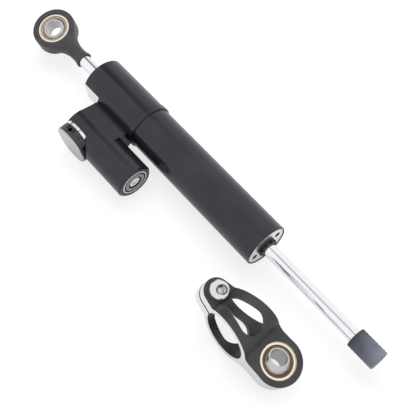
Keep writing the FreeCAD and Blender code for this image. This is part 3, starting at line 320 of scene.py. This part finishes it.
class Nodes:
    """A node tree under construction."""

    def __init__(self, tree):
        self.tree = tree

    def add(self, kind, **settings):
        node = self.tree.nodes.new(kind)
        for key, value in settings.items():
            setattr(node, key, value)
        return node

    def feed(self, socket, value):
        """Give an input another node's output, or else a plain value."""
        if isinstance(value, bpy.types.NodeSocket):
            self.tree.links.new(value, socket)
        else:
            socket.default_value = value

    def arithmetic(self, operation, *values):
        """A Math node on outputs or numbers."""
        node = self.add("ShaderNodeMath", operation=operation)
        for socket, value in zip(node.inputs, values):
            self.feed(socket, value)
        return node.outputs[0]

    def remap(self, value, low, high, to_low, to_high):
        """Stretch the range from low to high onto another one."""
        node = self.add("ShaderNodeMapRange")
        self.feed(node.inputs["Value"], value)
        ends = {"From Min": low, "From Max": high, "To Min": to_low, "To Max": to_high}
        for key, number in ends.items():
            node.inputs[key].default_value = number
        return node.outputs["Result"]

    def blend(self, share, first, second):
        """A colour between two colours, by a share from 0 to 1."""
        node = self.add("ShaderNodeMix", data_type="RGBA")
        for key, value in (("Factor", share), ("A", first), ("B", second)):
            self.feed(node.inputs[key], value)
        return node.outputs["Result"]

    def ramp(self, value, stops, interpolation="LINEAR"):
        """A colour that follows a value through stops, each a place and a colour."""
        node = self.add("ShaderNodeValToRGB")
        node.color_ramp.interpolation = interpolation
        elements = node.color_ramp.elements
        while len(elements) < len(stops):
            elements.new(0.5)
        for element, (place, colour) in zip(elements, stops):
            element.position = place
            element.color = colour
        self.feed(node.inputs["Fac"], value)
        return node.outputs["Color"]

    def along(self, vector, axis):
        """How far a vector reaches along an axis."""
        node = self.add("ShaderNodeVectorMath", operation="DOT_PRODUCT")
        self.feed(node.inputs[0], vector)
        node.inputs[1].default_value = axis
        return node.outputs["Value"]

    def split(self, vector):
        """The X, Y and Z of a vector."""
        node = self.add("ShaderNodeSeparateXYZ")
        self.feed(node.inputs[0], vector)
        return tuple(node.outputs)

    def supply(self, kind, **values):
        """The output of a new node whose inputs are given by name."""
        node = self.add(kind)
        for key, value in values.items():
            self.feed(node.inputs[key], value)
        return node.outputs[0]

    def mingle(self, share, first, second):
        """A mix of two shaders, by a share from 0 to 1."""
        node = self.add("ShaderNodeMixShader")
        for socket, value in zip(node.inputs, (share, first, second)):
            self.feed(socket, value)
        return node.outputs[0]


class Finish(Nodes):
    """One surface finish under construction: a material with its shader."""

    def __init__(self, name, colour, metallic, roughness):
        self.material = bpy.data.materials.new(name)
        self.material.use_nodes = True
        self.material.diffuse_color = rgba(colour)
        super().__init__(self.material.node_tree)
        self.shader = self.tree.nodes["Principled BSDF"]
        self.surface("Base Color", rgba(colour))
        self.surface("Metallic", metallic)
        self.surface("Roughness", roughness)

    def surface(self, key, value):
        """Feed one of the shader's own inputs."""
        self.feed(self.shader.inputs[key], value)

    def points(self, centre=ROD_LINE, axis=X_AXIS, stretch=(1.0, 1.0, 1.0)):
        """Object coordinates measured from a centre, with X along an axis."""
        place = self.add("ShaderNodeTexCoord").outputs["Object"]
        turned = self.add("ShaderNodeMapping", vector_type="TEXTURE")
        turned.inputs["Location"].default_value = centre
        turned.inputs["Rotation"].default_value = X_AXIS.rotation_difference(axis).to_euler()
        self.feed(turned.inputs["Vector"], place)
        scaled = self.add("ShaderNodeMapping")
        scaled.inputs["Scale"].default_value = stretch
        self.feed(scaled.inputs["Vector"], turned.outputs[0])
        return scaled.outputs[0]

    def from_axis(self, centre, axis):
        """How far a point lies along an axis, and how far away from it."""
        along, side, up = self.split(self.points(centre, axis))
        square = self.arithmetic("ADD", self.arithmetic("POWER", side, 2.0),
                                 self.arithmetic("POWER", up, 2.0))
        return along, self.arithmetic("SQRT", square)

    def grain(self, vector, scale, detail=3.0, roughness=0.55):
        node = self.add("ShaderNodeTexNoise")
        node.inputs["Scale"].default_value = scale
        node.inputs["Detail"].default_value = detail
        node.inputs["Roughness"].default_value = roughness
        self.feed(node.inputs["Vector"], vector)
        return node.outputs["Fac"]

    def lathe_marks(self, centre, axis, scale):
        """Fine rings, round the axis on faces and along it on turned walls."""
        along, radius = self.from_axis(centre, axis)
        node = self.add("ShaderNodeTexNoise", noise_dimensions="1D")
        node.inputs["Scale"].default_value = scale
        node.inputs["Detail"].default_value = 2.0
        self.feed(node.inputs["W"], self.arithmetic("ADD", radius, along))
        return node.outputs["Fac"]

    def spread(self, grain, low=0.0, high=1.0):
        """Stretch a grain until most of it lies between two numbers."""
        return self.remap(grain, *GRAIN_RANGE, low, high)

    def clouded(self, dye, scale, palest):
        """A dye that drifts in soft clouds between a deeper and a paler shade."""
        cloud = self.grain(self.points(), scale, detail=4.0)
        share = self.remap(cloud, *CLOUD_RANGE, 0.0, 1.0)
        return self.blend(share, rgba(dye, DEEP), rgba(dye, palest))

    def tint(self, value, dark, light):
        """Colour the surface between two colours by a value from 0 to 1."""
        self.surface("Base Color", self.blend(value, dark, light))

    def wear(self, value, low, high):
        """Let the roughness follow a value from 0 to 1."""
        self.surface("Roughness", self.spread(value, low, high))

    def mill(self, mask, dyed, bare, roughness, rougher):
        """Bare metal where a mask is 1, on a dyed surface with its own roughness."""
        self.tint(mask, dyed, rgba(bare))
        self.surface("Metallic", mask)
        change = self.arithmetic("MULTIPLY", mask, rougher)
        self.surface("Roughness", self.arithmetic("ADD", roughness, change))

    def relief(self, value, depth, strength=0.4):
        node = self.add("ShaderNodeBump")
        node.inputs["Strength"].default_value = strength
        node.inputs["Distance"].default_value = depth
        self.feed(node.inputs["Height"], value)
        self.surface("Normal", node.outputs["Normal"])


def drawing_lines(made):
    """Faint lengthwise lines of a drawn bar."""
    lines = made.grain(made.points(stretch=(0.02, 1.0, 1.0)), scale=900.0)
    made.relief(lines, depth=0.00001, strength=0.12)
    return made.spread(lines, low=0.12, high=0.21)


def gloss_black_anodising():
    """Dyed extrusion: faint lengthwise drawing lines under a clear, even gloss."""
    dye = colours().gloss_black
    made = Finish("gloss_black_anodising", dye, 0.0, 0.16)
    made.surface("Base Color", made.clouded(dye, 60.0, GLOSS_PALE))
    made.surface("Roughness", drawing_lines(made))
    return made.material


def head_anodising():
    """The same gloss as the tube, with the side cut of the head milled bare."""
    dye = colours().gloss_black
    made = Finish("head_anodising", dye, 0.0, 0.16)
    along, side, _ = made.split(made.points())
    cut = made.arithmetic("MULTIPLY", made.arithmetic("LESS_THAN", side, SIDE_CUT + HAIR),
                          made.arithmetic("LESS_THAN", along, SIDE_CUT_END))
    made.mill(cut, made.clouded(dye, 60.0, GLOSS_PALE), colours().bare_alloy,
              drawing_lines(made), rougher=0.15)
    return made.material


def satin_black_anodising():
    """Blasted and dyed alloy: a fine even grain with slight clouding."""
    dye = colours().satin_black
    made = Finish("satin_black_anodising", dye, 0.0, 0.42)
    blast = made.grain(made.points(), scale=2600.0, detail=2.0)
    made.surface("Base Color", made.clouded(dye, 90.0, PALE))
    made.wear(blast, low=0.36, high=0.50)
    made.relief(blast, depth=0.00002, strength=0.35)
    return made.material


def clamp_finish():
    """Dyed faces with the outer side walls milled bare after dyeing."""
    dye = colours().satin_black
    made = Finish("clamp_finish", dye, 0.0, 0.4)
    long_axis, side_axis, top_axis = (CLAMP_FRAME @ axis for axis in (X_AXIS, Y_AXIS, Z_AXIS))
    coordinates = made.add("ShaderNodeTexCoord")
    from_eye = made.add("ShaderNodeVectorMath", operation="SUBTRACT")
    made.feed(from_eye.inputs[0], coordinates.outputs["Object"])
    from_eye.inputs[1].default_value = CLAMP_EYE_POINT
    length = made.along(from_eye.outputs[0], long_axis)
    width = made.arithmetic("ABSOLUTE", made.along(from_eye.outputs[0], side_axis))
    facing = coordinates.outputs["Normal"]
    upwards = made.arithmetic("ABSOLUTE", made.along(facing, top_axis))
    sideways = made.arithmetic("ABSOLUTE", made.along(facing, side_axis))
    wall = made.arithmetic("LESS_THAN", upwards, WALL_LEAN)
    side = made.arithmetic("MAXIMUM", made.arithmetic("GREATER_THAN", sideways, SIDE_TURN),
                           made.arithmetic("LESS_THAN", length, EARS_START))
    from_window = made.arithmetic("ABSOLUTE", made.arithmetic("ADD", length, -WINDOW_MIDDLE))
    outer = made.arithmetic("MAXIMUM", made.arithmetic("GREATER_THAN", width, WINDOW_SIDE),
                            made.arithmetic("GREATER_THAN", from_window, WINDOW_REACH))
    milled = made.arithmetic("MULTIPLY", made.arithmetic("MULTIPLY", wall, side), outer)
    blast = made.grain(made.points(), scale=2600.0, detail=2.0)
    made.mill(milled, made.clouded(dye, 90.0, PALE), colours().bare_alloy,
              made.spread(blast, low=0.34, high=0.46), rougher=-0.1)
    made.relief(blast, depth=0.00002, strength=0.3)
    return made.material


def forged_black_coating():
    """Coated forging: a soft skin with shallow unevenness."""
    coat = colours().forged_black
    made = Finish("forged_black_coating", coat, 0.0, 0.36)
    skin = made.grain(made.points(), scale=260.0, detail=4.0)
    fine = made.grain(made.points(), scale=2200.0, detail=2.0)
    made.tint(made.spread(skin), rgba(coat, DEEP), rgba(coat, PALE))
    made.wear(fine, low=0.32, high=0.46)
    made.relief(skin, depth=0.00006, strength=0.25)
    return made.material


def turned_metal(name, colour, centre, axis, low=0.16, high=0.34, marks=9000.0, depth=0.000008):
    """Bare metal from a lathe, with its rings and a little variation in shine."""
    made = Finish(name, colour, 1.0, (low + high) / 2)
    rings = made.lathe_marks(centre, axis, marks)
    made.tint(made.spread(rings), rgba(colour, 0.88), rgba(colour))
    made.wear(rings, low, high)
    made.relief(rings, depth, strength=0.3)
    return made.material


def zinc_with_painted_socket_shade(name, zinc, centre, axis, socket):
    """Bright turned screw, with painted shade on the walls of its hexagon socket and less of it on the
    socket's floor.
    """
    made = Finish(name, zinc, 1.0, 0.25)
    rings = made.lathe_marks(centre, axis, scale=5000.0)
    radius = made.from_axis(centre, axis)[1]
    inside = made.arithmetic("LESS_THAN", radius, socket)
    floor = made.arithmetic("LESS_THAN", radius, socket * SOCKET_FLOOR)
    # Painted shade: dark inside the socket, lighter again on its floor, taken off the lathe rings'
    # tone.
    dark = made.arithmetic("SUBTRACT", inside, made.arithmetic("MULTIPLY", floor, FLOOR_GLEAM))
    mirror = made.arithmetic("SUBTRACT", made.spread(rings, 0.86, 1.0),
                             made.arithmetic("MULTIPLY", dark, WALL_SHADE))
    made.tint(mirror, rgba(WHITE, 0.0), rgba(zinc))
    made.wear(rings, low=0.16, high=0.32)
    made.relief(rings, depth=0.00001, strength=0.3)
    return made.material


def end_cap_alloy_with_painted_hole_shade():
    """Turned face, with painted shade in its two pin holes."""
    alloy = colours().bare_alloy
    made = Finish("end_cap_alloy_with_painted_hole_shade", alloy, 1.0, 0.3)
    rings = made.lathe_marks(ROD_LINE, X_AXIS, scale=9000.0)
    _, side, up = made.split(made.points())
    flat = made.supply("ShaderNodeCombineXYZ", Y=side, Z=up)
    gaps = []
    for hole in PIN_HOLES:
        gap = made.add("ShaderNodeVectorMath", operation="DISTANCE")
        made.feed(gap.inputs[0], flat)
        gap.inputs[1].default_value = hole
        gaps.append(gap.outputs["Value"])
    # Painted shade: near black and not metallic in and just round the pin holes.
    outside_hole_shade = made.arithmetic("GREATER_THAN", made.arithmetic("MINIMUM", *gaps), PIN_SHADE_RADIUS)
    shine = made.arithmetic("MULTIPLY", made.spread(rings, 0.82, 1.0), outside_hole_shade)
    made.tint(shine, rgba(PIN_HOLE_SHADE), rgba(alloy))
    made.surface("Metallic", outside_hole_shade)
    made.wear(rings, low=0.2, high=0.38)
    made.relief(rings, depth=0.000008, strength=0.3)
    return made.material


def plated_chrome():
    """Ground and plated rod: almost a mirror, with traces of the grinding."""
    plate = colours().chrome
    made = Finish("plated_chrome", plate, 1.0, 0.06)
    ground = made.lathe_marks(ROD_LINE, X_AXIS, scale=14000.0)
    made.tint(made.spread(ground), rgba(plate, 0.96), rgba(plate))
    made.wear(ground, low=0.045, high=0.085)
    return made.material


def reservoir_plug_painted_shade_and_highlight():
    """Grey turned plug, with painted shade as black bands round the screw and in a groove round its
    face, and a painted highlight as a thin bright edge outside it.
    """
    grey = colours().grey_alloy
    made = Finish("reservoir_plug_painted_shade_and_highlight", grey, 1.0, 0.35)
    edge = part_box("reservoir_plug")[1].y - RESERVOIR_LINE.y
    radius = made.from_axis(RESERVOIR_LINE, X_AXIS)[1]
    share = made.arithmetic("DIVIDE", radius, edge)
    # Painted shade and a painted highlight, in bands by radius.
    made.surface("Base Color", made.ramp(share, shades(grey, PLUG_SHADE_AND_HIGHLIGHT_BANDS), "CONSTANT"))
    rings = made.lathe_marks(RESERVOIR_LINE, X_AXIS, scale=9000.0)
    made.wear(rings, low=0.28, high=0.44)
    made.relief(rings, depth=0.000008, strength=0.3)
    return made.material


def mould_grain(made, low, high):
    """The fine grain that a mould leaves on rubber."""
    fine = made.grain(made.points(), scale=2400.0, detail=2.0)
    made.wear(fine, low, high)
    made.relief(fine, depth=0.00003, strength=0.3)


def moulded_rubber(name, colour, low=0.6, high=0.8):
    """Matt rubber with the fine grain of its mould."""
    made = Finish(name, colour, 0.0, (low + high) / 2)
    bloom = made.grain(made.points(), scale=160.0, detail=4.0)
    made.tint(made.spread(bloom), rgba(colour, DEEP), rgba(colour, PALE))
    mould_grain(made, low, high)
    return made.material


def cap_rubber():
    """Rubber of the rod's cap, paler with bloom towards its closed end."""
    base = colours().grey_rubber
    made = Finish("cap_rubber", base, 0.0, 0.6)
    low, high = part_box("rod_buffer_cap")
    along = made.remap(made.split(made.points())[0], low.x, high.x, 0.0, 1.0)
    patch = made.spread(made.grain(made.points(), scale=120.0, detail=4.0), -0.15, 0.15)
    made.tint(made.arithmetic("ADD", along, patch), rgba(base, 0.42), rgba(colours().rubber_bloom))
    mould_grain(made, low=0.5, high=0.7)
    return made.material


def woven_liner(name, thread):
    """Resin-filled cloth that lines the bearing."""
    made = Finish(name, thread, 0.0, 0.7)
    weave = made.add("ShaderNodeTexChecker")
    weave.inputs["Scale"].default_value = 2200.0
    made.feed(weave.inputs["Vector"], made.points())
    made.tint(weave.outputs["Fac"], rgba(thread, 0.7), rgba(thread, 1.5))
    made.relief(weave.outputs["Fac"], depth=0.00003)
    return made.material


def sintered_bronze():
    """Porous bronze: bright grains with dark pores."""
    metal = colours().bronze
    made = Finish("sintered_bronze", metal, 1.0, 0.4)
    pores = made.add("ShaderNodeTexVoronoi")
    pores.inputs["Scale"].default_value = 2600.0
    made.feed(pores.inputs["Vector"], made.points())
    depth = pores.outputs["Distance"]
    made.tint(made.remap(depth, 0.0, 0.4, 0.0, 1.0), rgba(metal, 0.45), rgba(metal, 1.2))
    made.wear(depth, low=0.32, high=0.55)
    made.relief(depth, depth=0.00003)
    return made.material


def dress(node, material):
    """Give a CAD node its finish."""
    piece = frame["nodes"][node]
    piece.data.materials.clear()
    piece.data.materials.append(material)


def dress_all(names, material):
    for node in names:
        dress(node, material)


def new_piece(name, mesh, material, body, *stands_for):
    """Turn a finished bmesh into an object that rides on a body and stands for CAD nodes."""
    bmesh.ops.remove_doubles(mesh, verts=mesh.verts, dist=1e-7)
    bmesh.ops.recalc_face_normals(mesh, faces=mesh.faces)
    data = bpy.data.meshes.new(name)
    mesh.to_mesh(data)
    mesh.free()
    piece = bpy.data.objects.new(name, data)
    bpy.context.scene.collection.objects.link(piece)
    data.materials.append(material)
    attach(piece, body)
    if stands_for:
        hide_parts(*stands_for)
    return piece


def smooth_by_angle(piece, limit=math.radians(35)):
    """Shade rounded walls smooth and keep the corners crisp."""
    for face in piece.data.polygons:
        face.use_smooth = True
    corners = bmesh.new()
    corners.from_mesh(piece.data)
    for edge in corners.edges:
        edge.smooth = not edge.is_manifold or edge.calc_face_angle() < limit
    corners.to_mesh(piece.data)
    corners.free()


def chain(mesh, corners):
    """A run of joined edges through points in the XY plane."""
    verts = [mesh.verts.new((along, out, 0.0)) for along, out in corners]
    return verts + [mesh.edges.new(pair) for pair in zip(verts, verts[1:])]


def turn_about_x(mesh, parts, steps=96):
    bmesh.ops.spin(mesh, geom=parts, cent=(0, 0, 0), axis=X_AXIS, angle=math.tau, steps=steps,
                   use_merge=True, use_duplicate=False, dvec=(0, 0, 0))


def coil(name, node, turns, wire, axis, material, body):
    """A wound spring in the room of the plain sleeve that stands for it in the CAD model."""
    low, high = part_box(node)
    centre = (low + high) / 2
    length = abs((high - low).dot(axis)) - wire
    width = max(abs(side) for side in (high - low) - axis * (high - low).dot(axis))
    mean = width / 2 - wire / 2
    aside = Y_AXIS if abs(axis.x) > 0.5 else X_AXIS
    mesh = bmesh.new()
    steps = turns * COIL_STEPS
    spot = Matrix.Translation(centre - axis * length / 2 + aside * mean)
    tip = spot @ axis.cross(aside).to_track_quat("Z", "Y").to_matrix().to_4x4()
    ring = bmesh.ops.create_circle(mesh, cap_ends=True, radius=wire / 2, segments=WIRE_SIDES,
                                   matrix=tip)
    faces = [face for vert in ring["verts"] for face in vert.link_faces]
    bmesh.ops.spin(mesh, geom=list(set(faces)) + ring["verts"], cent=centre, axis=axis,
                   angle=math.tau * turns, steps=steps, dvec=axis * length / steps,
                   use_merge=False, use_duplicate=False)
    piece = new_piece(name, mesh, material, body, node)
    smooth_by_angle(piece)
    return piece


class DAMPER_OT_cylinder(bpy.types.Operator):
    """Finish the head block, the main tube and the end cap with their static rings"""

    bl_idname = "damper.cylinder"
    bl_label = "Cylinder"

    def execute(self, context):
        dress("head_block", head_anodising())
        dress("main_tube", gloss_black_anodising())
        dress("end_cap", end_cap_alloy_with_painted_hole_shade())
        rubber = moulded_rubber("ring_rubber", colours().black_rubber)
        dress_all(("tube_oring", "end_cap_oring"), rubber)
        return {"FINISHED"}


class DAMPER_OT_rod_guides(bpy.types.Operator):
    """Finish the bushes, seals and wipers that guide the rod"""

    bl_idname = "damper.rod_guides"
    bl_label = "Rod guides"

    def execute(self, context):
        dress_all(("head_guide_bush", "cap_guide_bush"), sintered_bronze())
        seals = moulded_rubber("seal_rubber", colours().black_rubber, 0.4, 0.6)
        dress_all(("head_rod_seal", "cap_rod_seal", "head_wiper", "cap_wiper"), seals)
        return {"FINISHED"}


class DAMPER_OT_rod_and_piston(bpy.types.Operator):
    """Finish the chromed rod, the piston, its wear band and its clips"""

    bl_idname = "damper.rod_and_piston"
    bl_label = "Rod and piston"

    def execute(self, context):
        dress("piston_rod", plated_chrome())
        dress("piston", turned_metal("piston_alloy", colours().bare_alloy, ROD_LINE, X_AXIS))
        dress("piston_band", moulded_rubber("band_plastic", colours().wear_band, 0.4, 0.55))
        dress("piston_clips", turned_metal("clip_steel", colours().spring_steel, ROD_LINE, X_AXIS))
        return {"FINISHED"}


class DAMPER_OT_rod_cap(bpy.types.Operator):
    """Model the rubber cap on the rod's free end, with its shallow rings"""

    bl_idname = "damper.rod_cap"
    bl_label = "Rod cap"

    def execute(self, context):
        low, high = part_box("rod_buffer_cap")
        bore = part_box("piston_rod")[1].y + HAIR
        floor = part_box("piston_rod")[1].x + HAIR
        outer, deep, corner = high.y, sizes().cap_ring_depth, sizes().cap_corner
        bevel = corner * CAP_BEVEL
        corners = [(floor, 0.0), (floor, bore), (low.x, bore), (low.x, outer - corner),
                   (low.x + bevel, outer - bevel), (low.x + corner, outer)]
        pitch = (high.x - low.x - 2 * corner) / sizes().cap_rings
        for ring in range(sizes().cap_rings):
            start = low.x + corner + ring * pitch
            corners += [(start + pitch * along, outer - deep * down) for along, down in CAP_RING]
        corners += [(high.x - bevel, outer - bevel), (high.x, outer - corner), (high.x, 0.0)]
        mesh = bmesh.new()
        turn_about_x(mesh, chain(mesh, corners))
        piece = new_piece("rod_cap_rubber", mesh, cap_rubber(), "rod", "rod_buffer_cap")
        smooth_by_angle(piece, limit=math.radians(50))
        return {"FINISHED"}


class DAMPER_OT_bearings(bpy.types.Operator):
    """Finish the rod eye and the races, liners and balls of both bearings"""

    bl_idname = "damper.bearings"
    bl_label = "Bearings"

    def execute(self, context):
        dress("rod_end_eye", forged_black_coating())
        gold, steel = colours().pale_gold, colours().ball_steel
        dress("rod_race", turned_metal("rod_race_gold", gold, ROD_EYE_POINT, EYE_AXIS))
        dress("clamp_race", turned_metal("clamp_race_gold", gold, CLAMP_EYE_POINT,
                                         CLAMP_FRAME @ Z_AXIS))
        dress("rod_ball", turned_metal("rod_ball_steel", steel, ROD_EYE_POINT,
                                       mount_axis("rod_eye")))
        dress("clamp_ball", turned_metal("clamp_ball_steel", steel, CLAMP_EYE_POINT,
                                         mount_axis("clamp_eye")))
        dress("rod_liner", woven_liner("rod_liner_cloth", colours().liner_beige))
        dress("clamp_liner", woven_liner("clamp_liner_cloth", colours().liner_brown))
        return {"FINISHED"}


class DAMPER_OT_valve(bpy.types.Operator):
    """Finish the needle valve with its seat, spindle, ring and gland"""

    bl_idname = "damper.valve"
    bl_label = "Valve"

    def execute(self, context):
        dress("valve_seat", sintered_bronze())
        steel = turned_metal("valve_steel", colours().zinc, KNOB_LINE, OUTWARD)
        dress_all(("valve_needle", "valve_spindle"), steel)
        dress("valve_gland", turned_metal("gland_alloy", colours().bare_alloy, KNOB_LINE, OUTWARD))
        dress("spindle_oring", moulded_rubber("spindle_rubber", colours().black_rubber))
        return {"FINISHED"}


class DAMPER_OT_knob(bpy.types.Operator):
    """Finish the adjuster knob with its ring, face, screw and click ball"""

    bl_idname = "damper.knob"
    bl_label = "Knob"

    def execute(self, context):
        dress("knob", satin_black_anodising())
        dress("knob_ring", turned_metal("knob_ring_alloy", colours().chrome, KNOB_LINE, OUTWARD,
                                        low=0.08, high=0.16))
        dress("knob_face", turned_metal("knob_face_alloy", colours().face_alloy, KNOB_LINE, OUTWARD,
                                        low=0.22, high=0.42, marks=7000.0))
        dress("knob_grub_screw", turned_metal("grub_steel", colours().spring_steel, KNOB_LINE, Z_AXIS))
        dress("detent_ball", turned_metal("click_ball_steel", colours().ball_steel,
                                          middle("detent_ball"), OUTWARD))
        steel = turned_metal("click_spring_steel", colours().spring_steel, KNOB_LINE, OUTWARD)
        coil("click_spring", "detent_spring", sizes().click_turns, sizes().click_wire, OUTWARD, steel,
             "barrel")
        return {"FINISHED"}


class DAMPER_OT_reservoir(bpy.types.Operator):
    """Finish the reservoir's plug, screw and separator, and wind its spring"""

    bl_idname = "damper.reservoir"
    bl_label = "Reservoir"

    def execute(self, context):
        dress("separator_piston", turned_metal("separator_alloy", colours().bare_alloy,
                                               RESERVOIR_LINE, X_AXIS))
        dress("reservoir_plug", reservoir_plug_painted_shade_and_highlight())
        rubber = moulded_rubber("reservoir_rubber", colours().black_rubber)
        dress_all(("separator_oring", "plug_oring"), rubber)
        dress("bleed_screw", zinc_with_painted_socket_shade("bleed_screw_zinc_painted_shade", colours().bright_zinc, RESERVOIR_LINE,
                                         X_AXIS, SCREW_SOCKET))
        steel = turned_metal("reservoir_spring_steel", colours().spring_steel, RESERVOIR_LINE, X_AXIS)
        spring = coil("reservoir_spring", "compensator_spring", sizes().spring_turns,
                      sizes().spring_wire, X_AXIS, steel, "barrel")
        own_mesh(spring)
        return {"FINISHED"}


class DAMPER_OT_clamp(bpy.types.Operator):
    """Finish the loose frame clamp and its pinch bolt"""

    bl_idname = "damper.clamp"
    bl_label = "Clamp"

    def execute(self, context):
        dress("clamp_bracket", clamp_finish())
        dress("pinch_bolt", zinc_with_painted_socket_shade("bolt_zinc_painted_shade", colours().zinc, middle("pinch_bolt"),
                                        CLAMP_FRAME @ Z_AXIS, BOLT_SOCKET))
        return {"FINISHED"}


class DAMPER_OT_studio(bpy.types.Operator):
    """Set the camera, the white table and the soft light"""

    bl_idname = "damper.studio"
    bl_label = "Studio"

    def execute(self, context):
        self.add_camera(context)
        self.add_table(context)
        self.add_sky(context)
        self.add_key_lamp(context)
        context.scene.view_settings.view_transform = "Standard"
        return {"FINISHED"}

    def add_camera(self, context):
        data = bpy.data.cameras.new("camera")
        data.lens = studio().focal_pixels * data.sensor_width / studio().picture_side
        data.clip_start, data.clip_end = CAMERA_CLIP
        camera = bpy.data.objects.new("camera", data)
        right, back = Vector(studio().camera_right), Vector(studio().camera_back)
        turn = Matrix((right, back.cross(right), back)).transposed()
        camera.matrix_world = Matrix.Translation(studio().camera_place) @ turn.to_4x4()
        context.scene.collection.objects.link(camera)
        context.scene.camera = camera

    def add_table(self, context):
        """A white table under the object."""
        mesh = bmesh.new()
        bmesh.ops.create_grid(mesh, x_segments=1, y_segments=1, size=studio().floor_reach)
        bmesh.ops.translate(mesh, verts=mesh.verts, vec=(0, 0, studio().floor_height - TABLE_HAIR))
        data = bpy.data.meshes.new("table")
        mesh.to_mesh(data)
        mesh.free()
        table = bpy.data.objects.new("table", data)
        context.scene.collection.objects.link(table)
        data.materials.append(self.table_white())

    def table_white(self):
        """White with a share of the real shadow to the camera, and an even white in reflections."""
        material = bpy.data.materials.new("white_table")
        material.use_nodes = True
        made = Nodes(material.node_tree)
        made.tree.nodes.clear()
        rays = made.add("ShaderNodeLightPath").outputs
        cloth = made.supply("ShaderNodeBsdfDiffuse", Color=rgba(WHITE, TABLE_CLOTH))
        gleam = made.supply("ShaderNodeEmission", Strength=studio().floor_gleam)
        mirrored = made.mingle(
            made.arithmetic("MULTIPLY", rays["Is Glossy Ray"], studio().gleam_share), cloth, gleam)
        shade = made.supply("ShaderNodeBsdfDiffuse", Color=rgba(WHITE, studio().floor_shade))
        white = made.supply("ShaderNodeEmission", Strength=studio().floor_white)
        seen = made.add("ShaderNodeAddShader")
        made.feed(seen.inputs[0], shade)
        made.feed(seen.inputs[1], white)
        surface = made.add("ShaderNodeOutputMaterial").inputs["Surface"]
        made.feed(surface, made.mingle(rays["Is Camera Ray"], mirrored, seen.outputs[0]))
        return material

    def add_sky(self, context):
        """White to the camera, and to reflections a white room with a dark gap overhead."""
        world = bpy.data.worlds.new("studio_room")
        world.use_nodes = True
        made = Nodes(world.node_tree)
        made.tree.nodes.clear()
        rays = made.add("ShaderNodeLightPath").outputs
        way = made.add("ShaderNodeTexCoord").outputs["Generated"]
        lengthwise = made.along(way, X_AXIS)
        across = made.arithmetic("MULTIPLY_ADD", made.along(way, Y_AXIS), 0.5, 0.5)
        rod_gap = made.ramp(across, shades(ROOM_WHITE, ROD_GAP))
        head_gap = made.ramp(across, shades(ROOM_WHITE, HEAD_GAP))
        gap = made.blend(made.remap(lengthwise, *HEAD_GAP_EDGE, 1.0, 0.0), rod_gap, head_gap)
        reach = made.ramp(made.arithmetic("MULTIPLY_ADD", lengthwise, 0.5, 0.5),
                          shades(WHITE, GAP_REACH))
        room = made.supply("ShaderNodeBackground",
                           Color=made.blend(reach, rgba(ROOM_WHITE), gap))
        soft = made.supply("ShaderNodeBackground", Color=rgba(WHITE), Strength=studio().sky_level)
        white = made.supply("ShaderNodeBackground", Color=rgba(WHITE))
        around = made.mingle(rays["Is Glossy Ray"], soft, room)
        surface = made.add("ShaderNodeOutputWorld").inputs["Surface"]
        made.feed(surface, made.mingle(rays["Is Camera Ray"], around, white))
        context.scene.world = world

    def add_key_lamp(self, context):
        """One large soft lamp, which reflections don't show."""
        data = bpy.data.lights.new("key_lamp", "AREA")
        data.size, data.energy = studio().key_side, studio().key_level
        lamp = bpy.data.objects.new("key_lamp", data)
        lamp.visible_glossy = False
        place = Vector(studio().key_place)
        aim = (place - Vector(studio().key_target)).to_track_quat("Z", "Y")
        lamp.matrix_world = Matrix.Translation(place) @ aim.to_matrix().to_4x4()
        context.scene.collection.objects.link(lamp)


class DAMPER_PT_panel(bpy.types.Panel):
    """Sizes, colours and steps of the damper"""

    bl_idname = "DAMPER_PT_panel"
    bl_label = "Steering Damper"
    bl_space_type = "VIEW_3D"
    bl_region_type = "UI"
    bl_category = "Damper"

    def draw(self, context):
        scene = context.scene
        for group in (scene.damper_sizes, scene.damper_colours, scene.damper_studio):
            box = self.layout.box()
            for name in group.bl_rna.properties.keys():
                if name not in ("name", "rna_type"):
                    box.prop(group, name)
        for step in STEPS:
            self.layout.operator(step.bl_idname)


GROUPS = {
    "damper_sizes": DamperSizes,
    "damper_colours": DamperColours,
    "damper_studio": DamperStudio,
}
STEPS = (
    DAMPER_OT_cylinder,
    DAMPER_OT_rod_guides,
    DAMPER_OT_rod_and_piston,
    DAMPER_OT_rod_cap,
    DAMPER_OT_bearings,
    DAMPER_OT_valve,
    DAMPER_OT_knob,
    DAMPER_OT_reservoir,
    DAMPER_OT_clamp,
    DAMPER_OT_studio,
)


def register():
    for group in (*GROUPS.values(), *STEPS, DAMPER_PT_panel):
        bpy.utils.register_class(group)
    for name, group in GROUPS.items():
        setattr(bpy.types.Scene, name, bpy.props.PointerProperty(type=group))


def unregister():
    for name in GROUPS:
        delattr(bpy.types.Scene, name)
    for group in (DAMPER_PT_panel, *reversed(STEPS), *GROUPS.values()):
        bpy.utils.unregister_class(group)


def main():
    register()
    for step in STEPS:
        area, name = step.bl_idname.split(".")
        getattr(getattr(bpy.ops, area), name)()


if __name__ == "__main__":
    main()
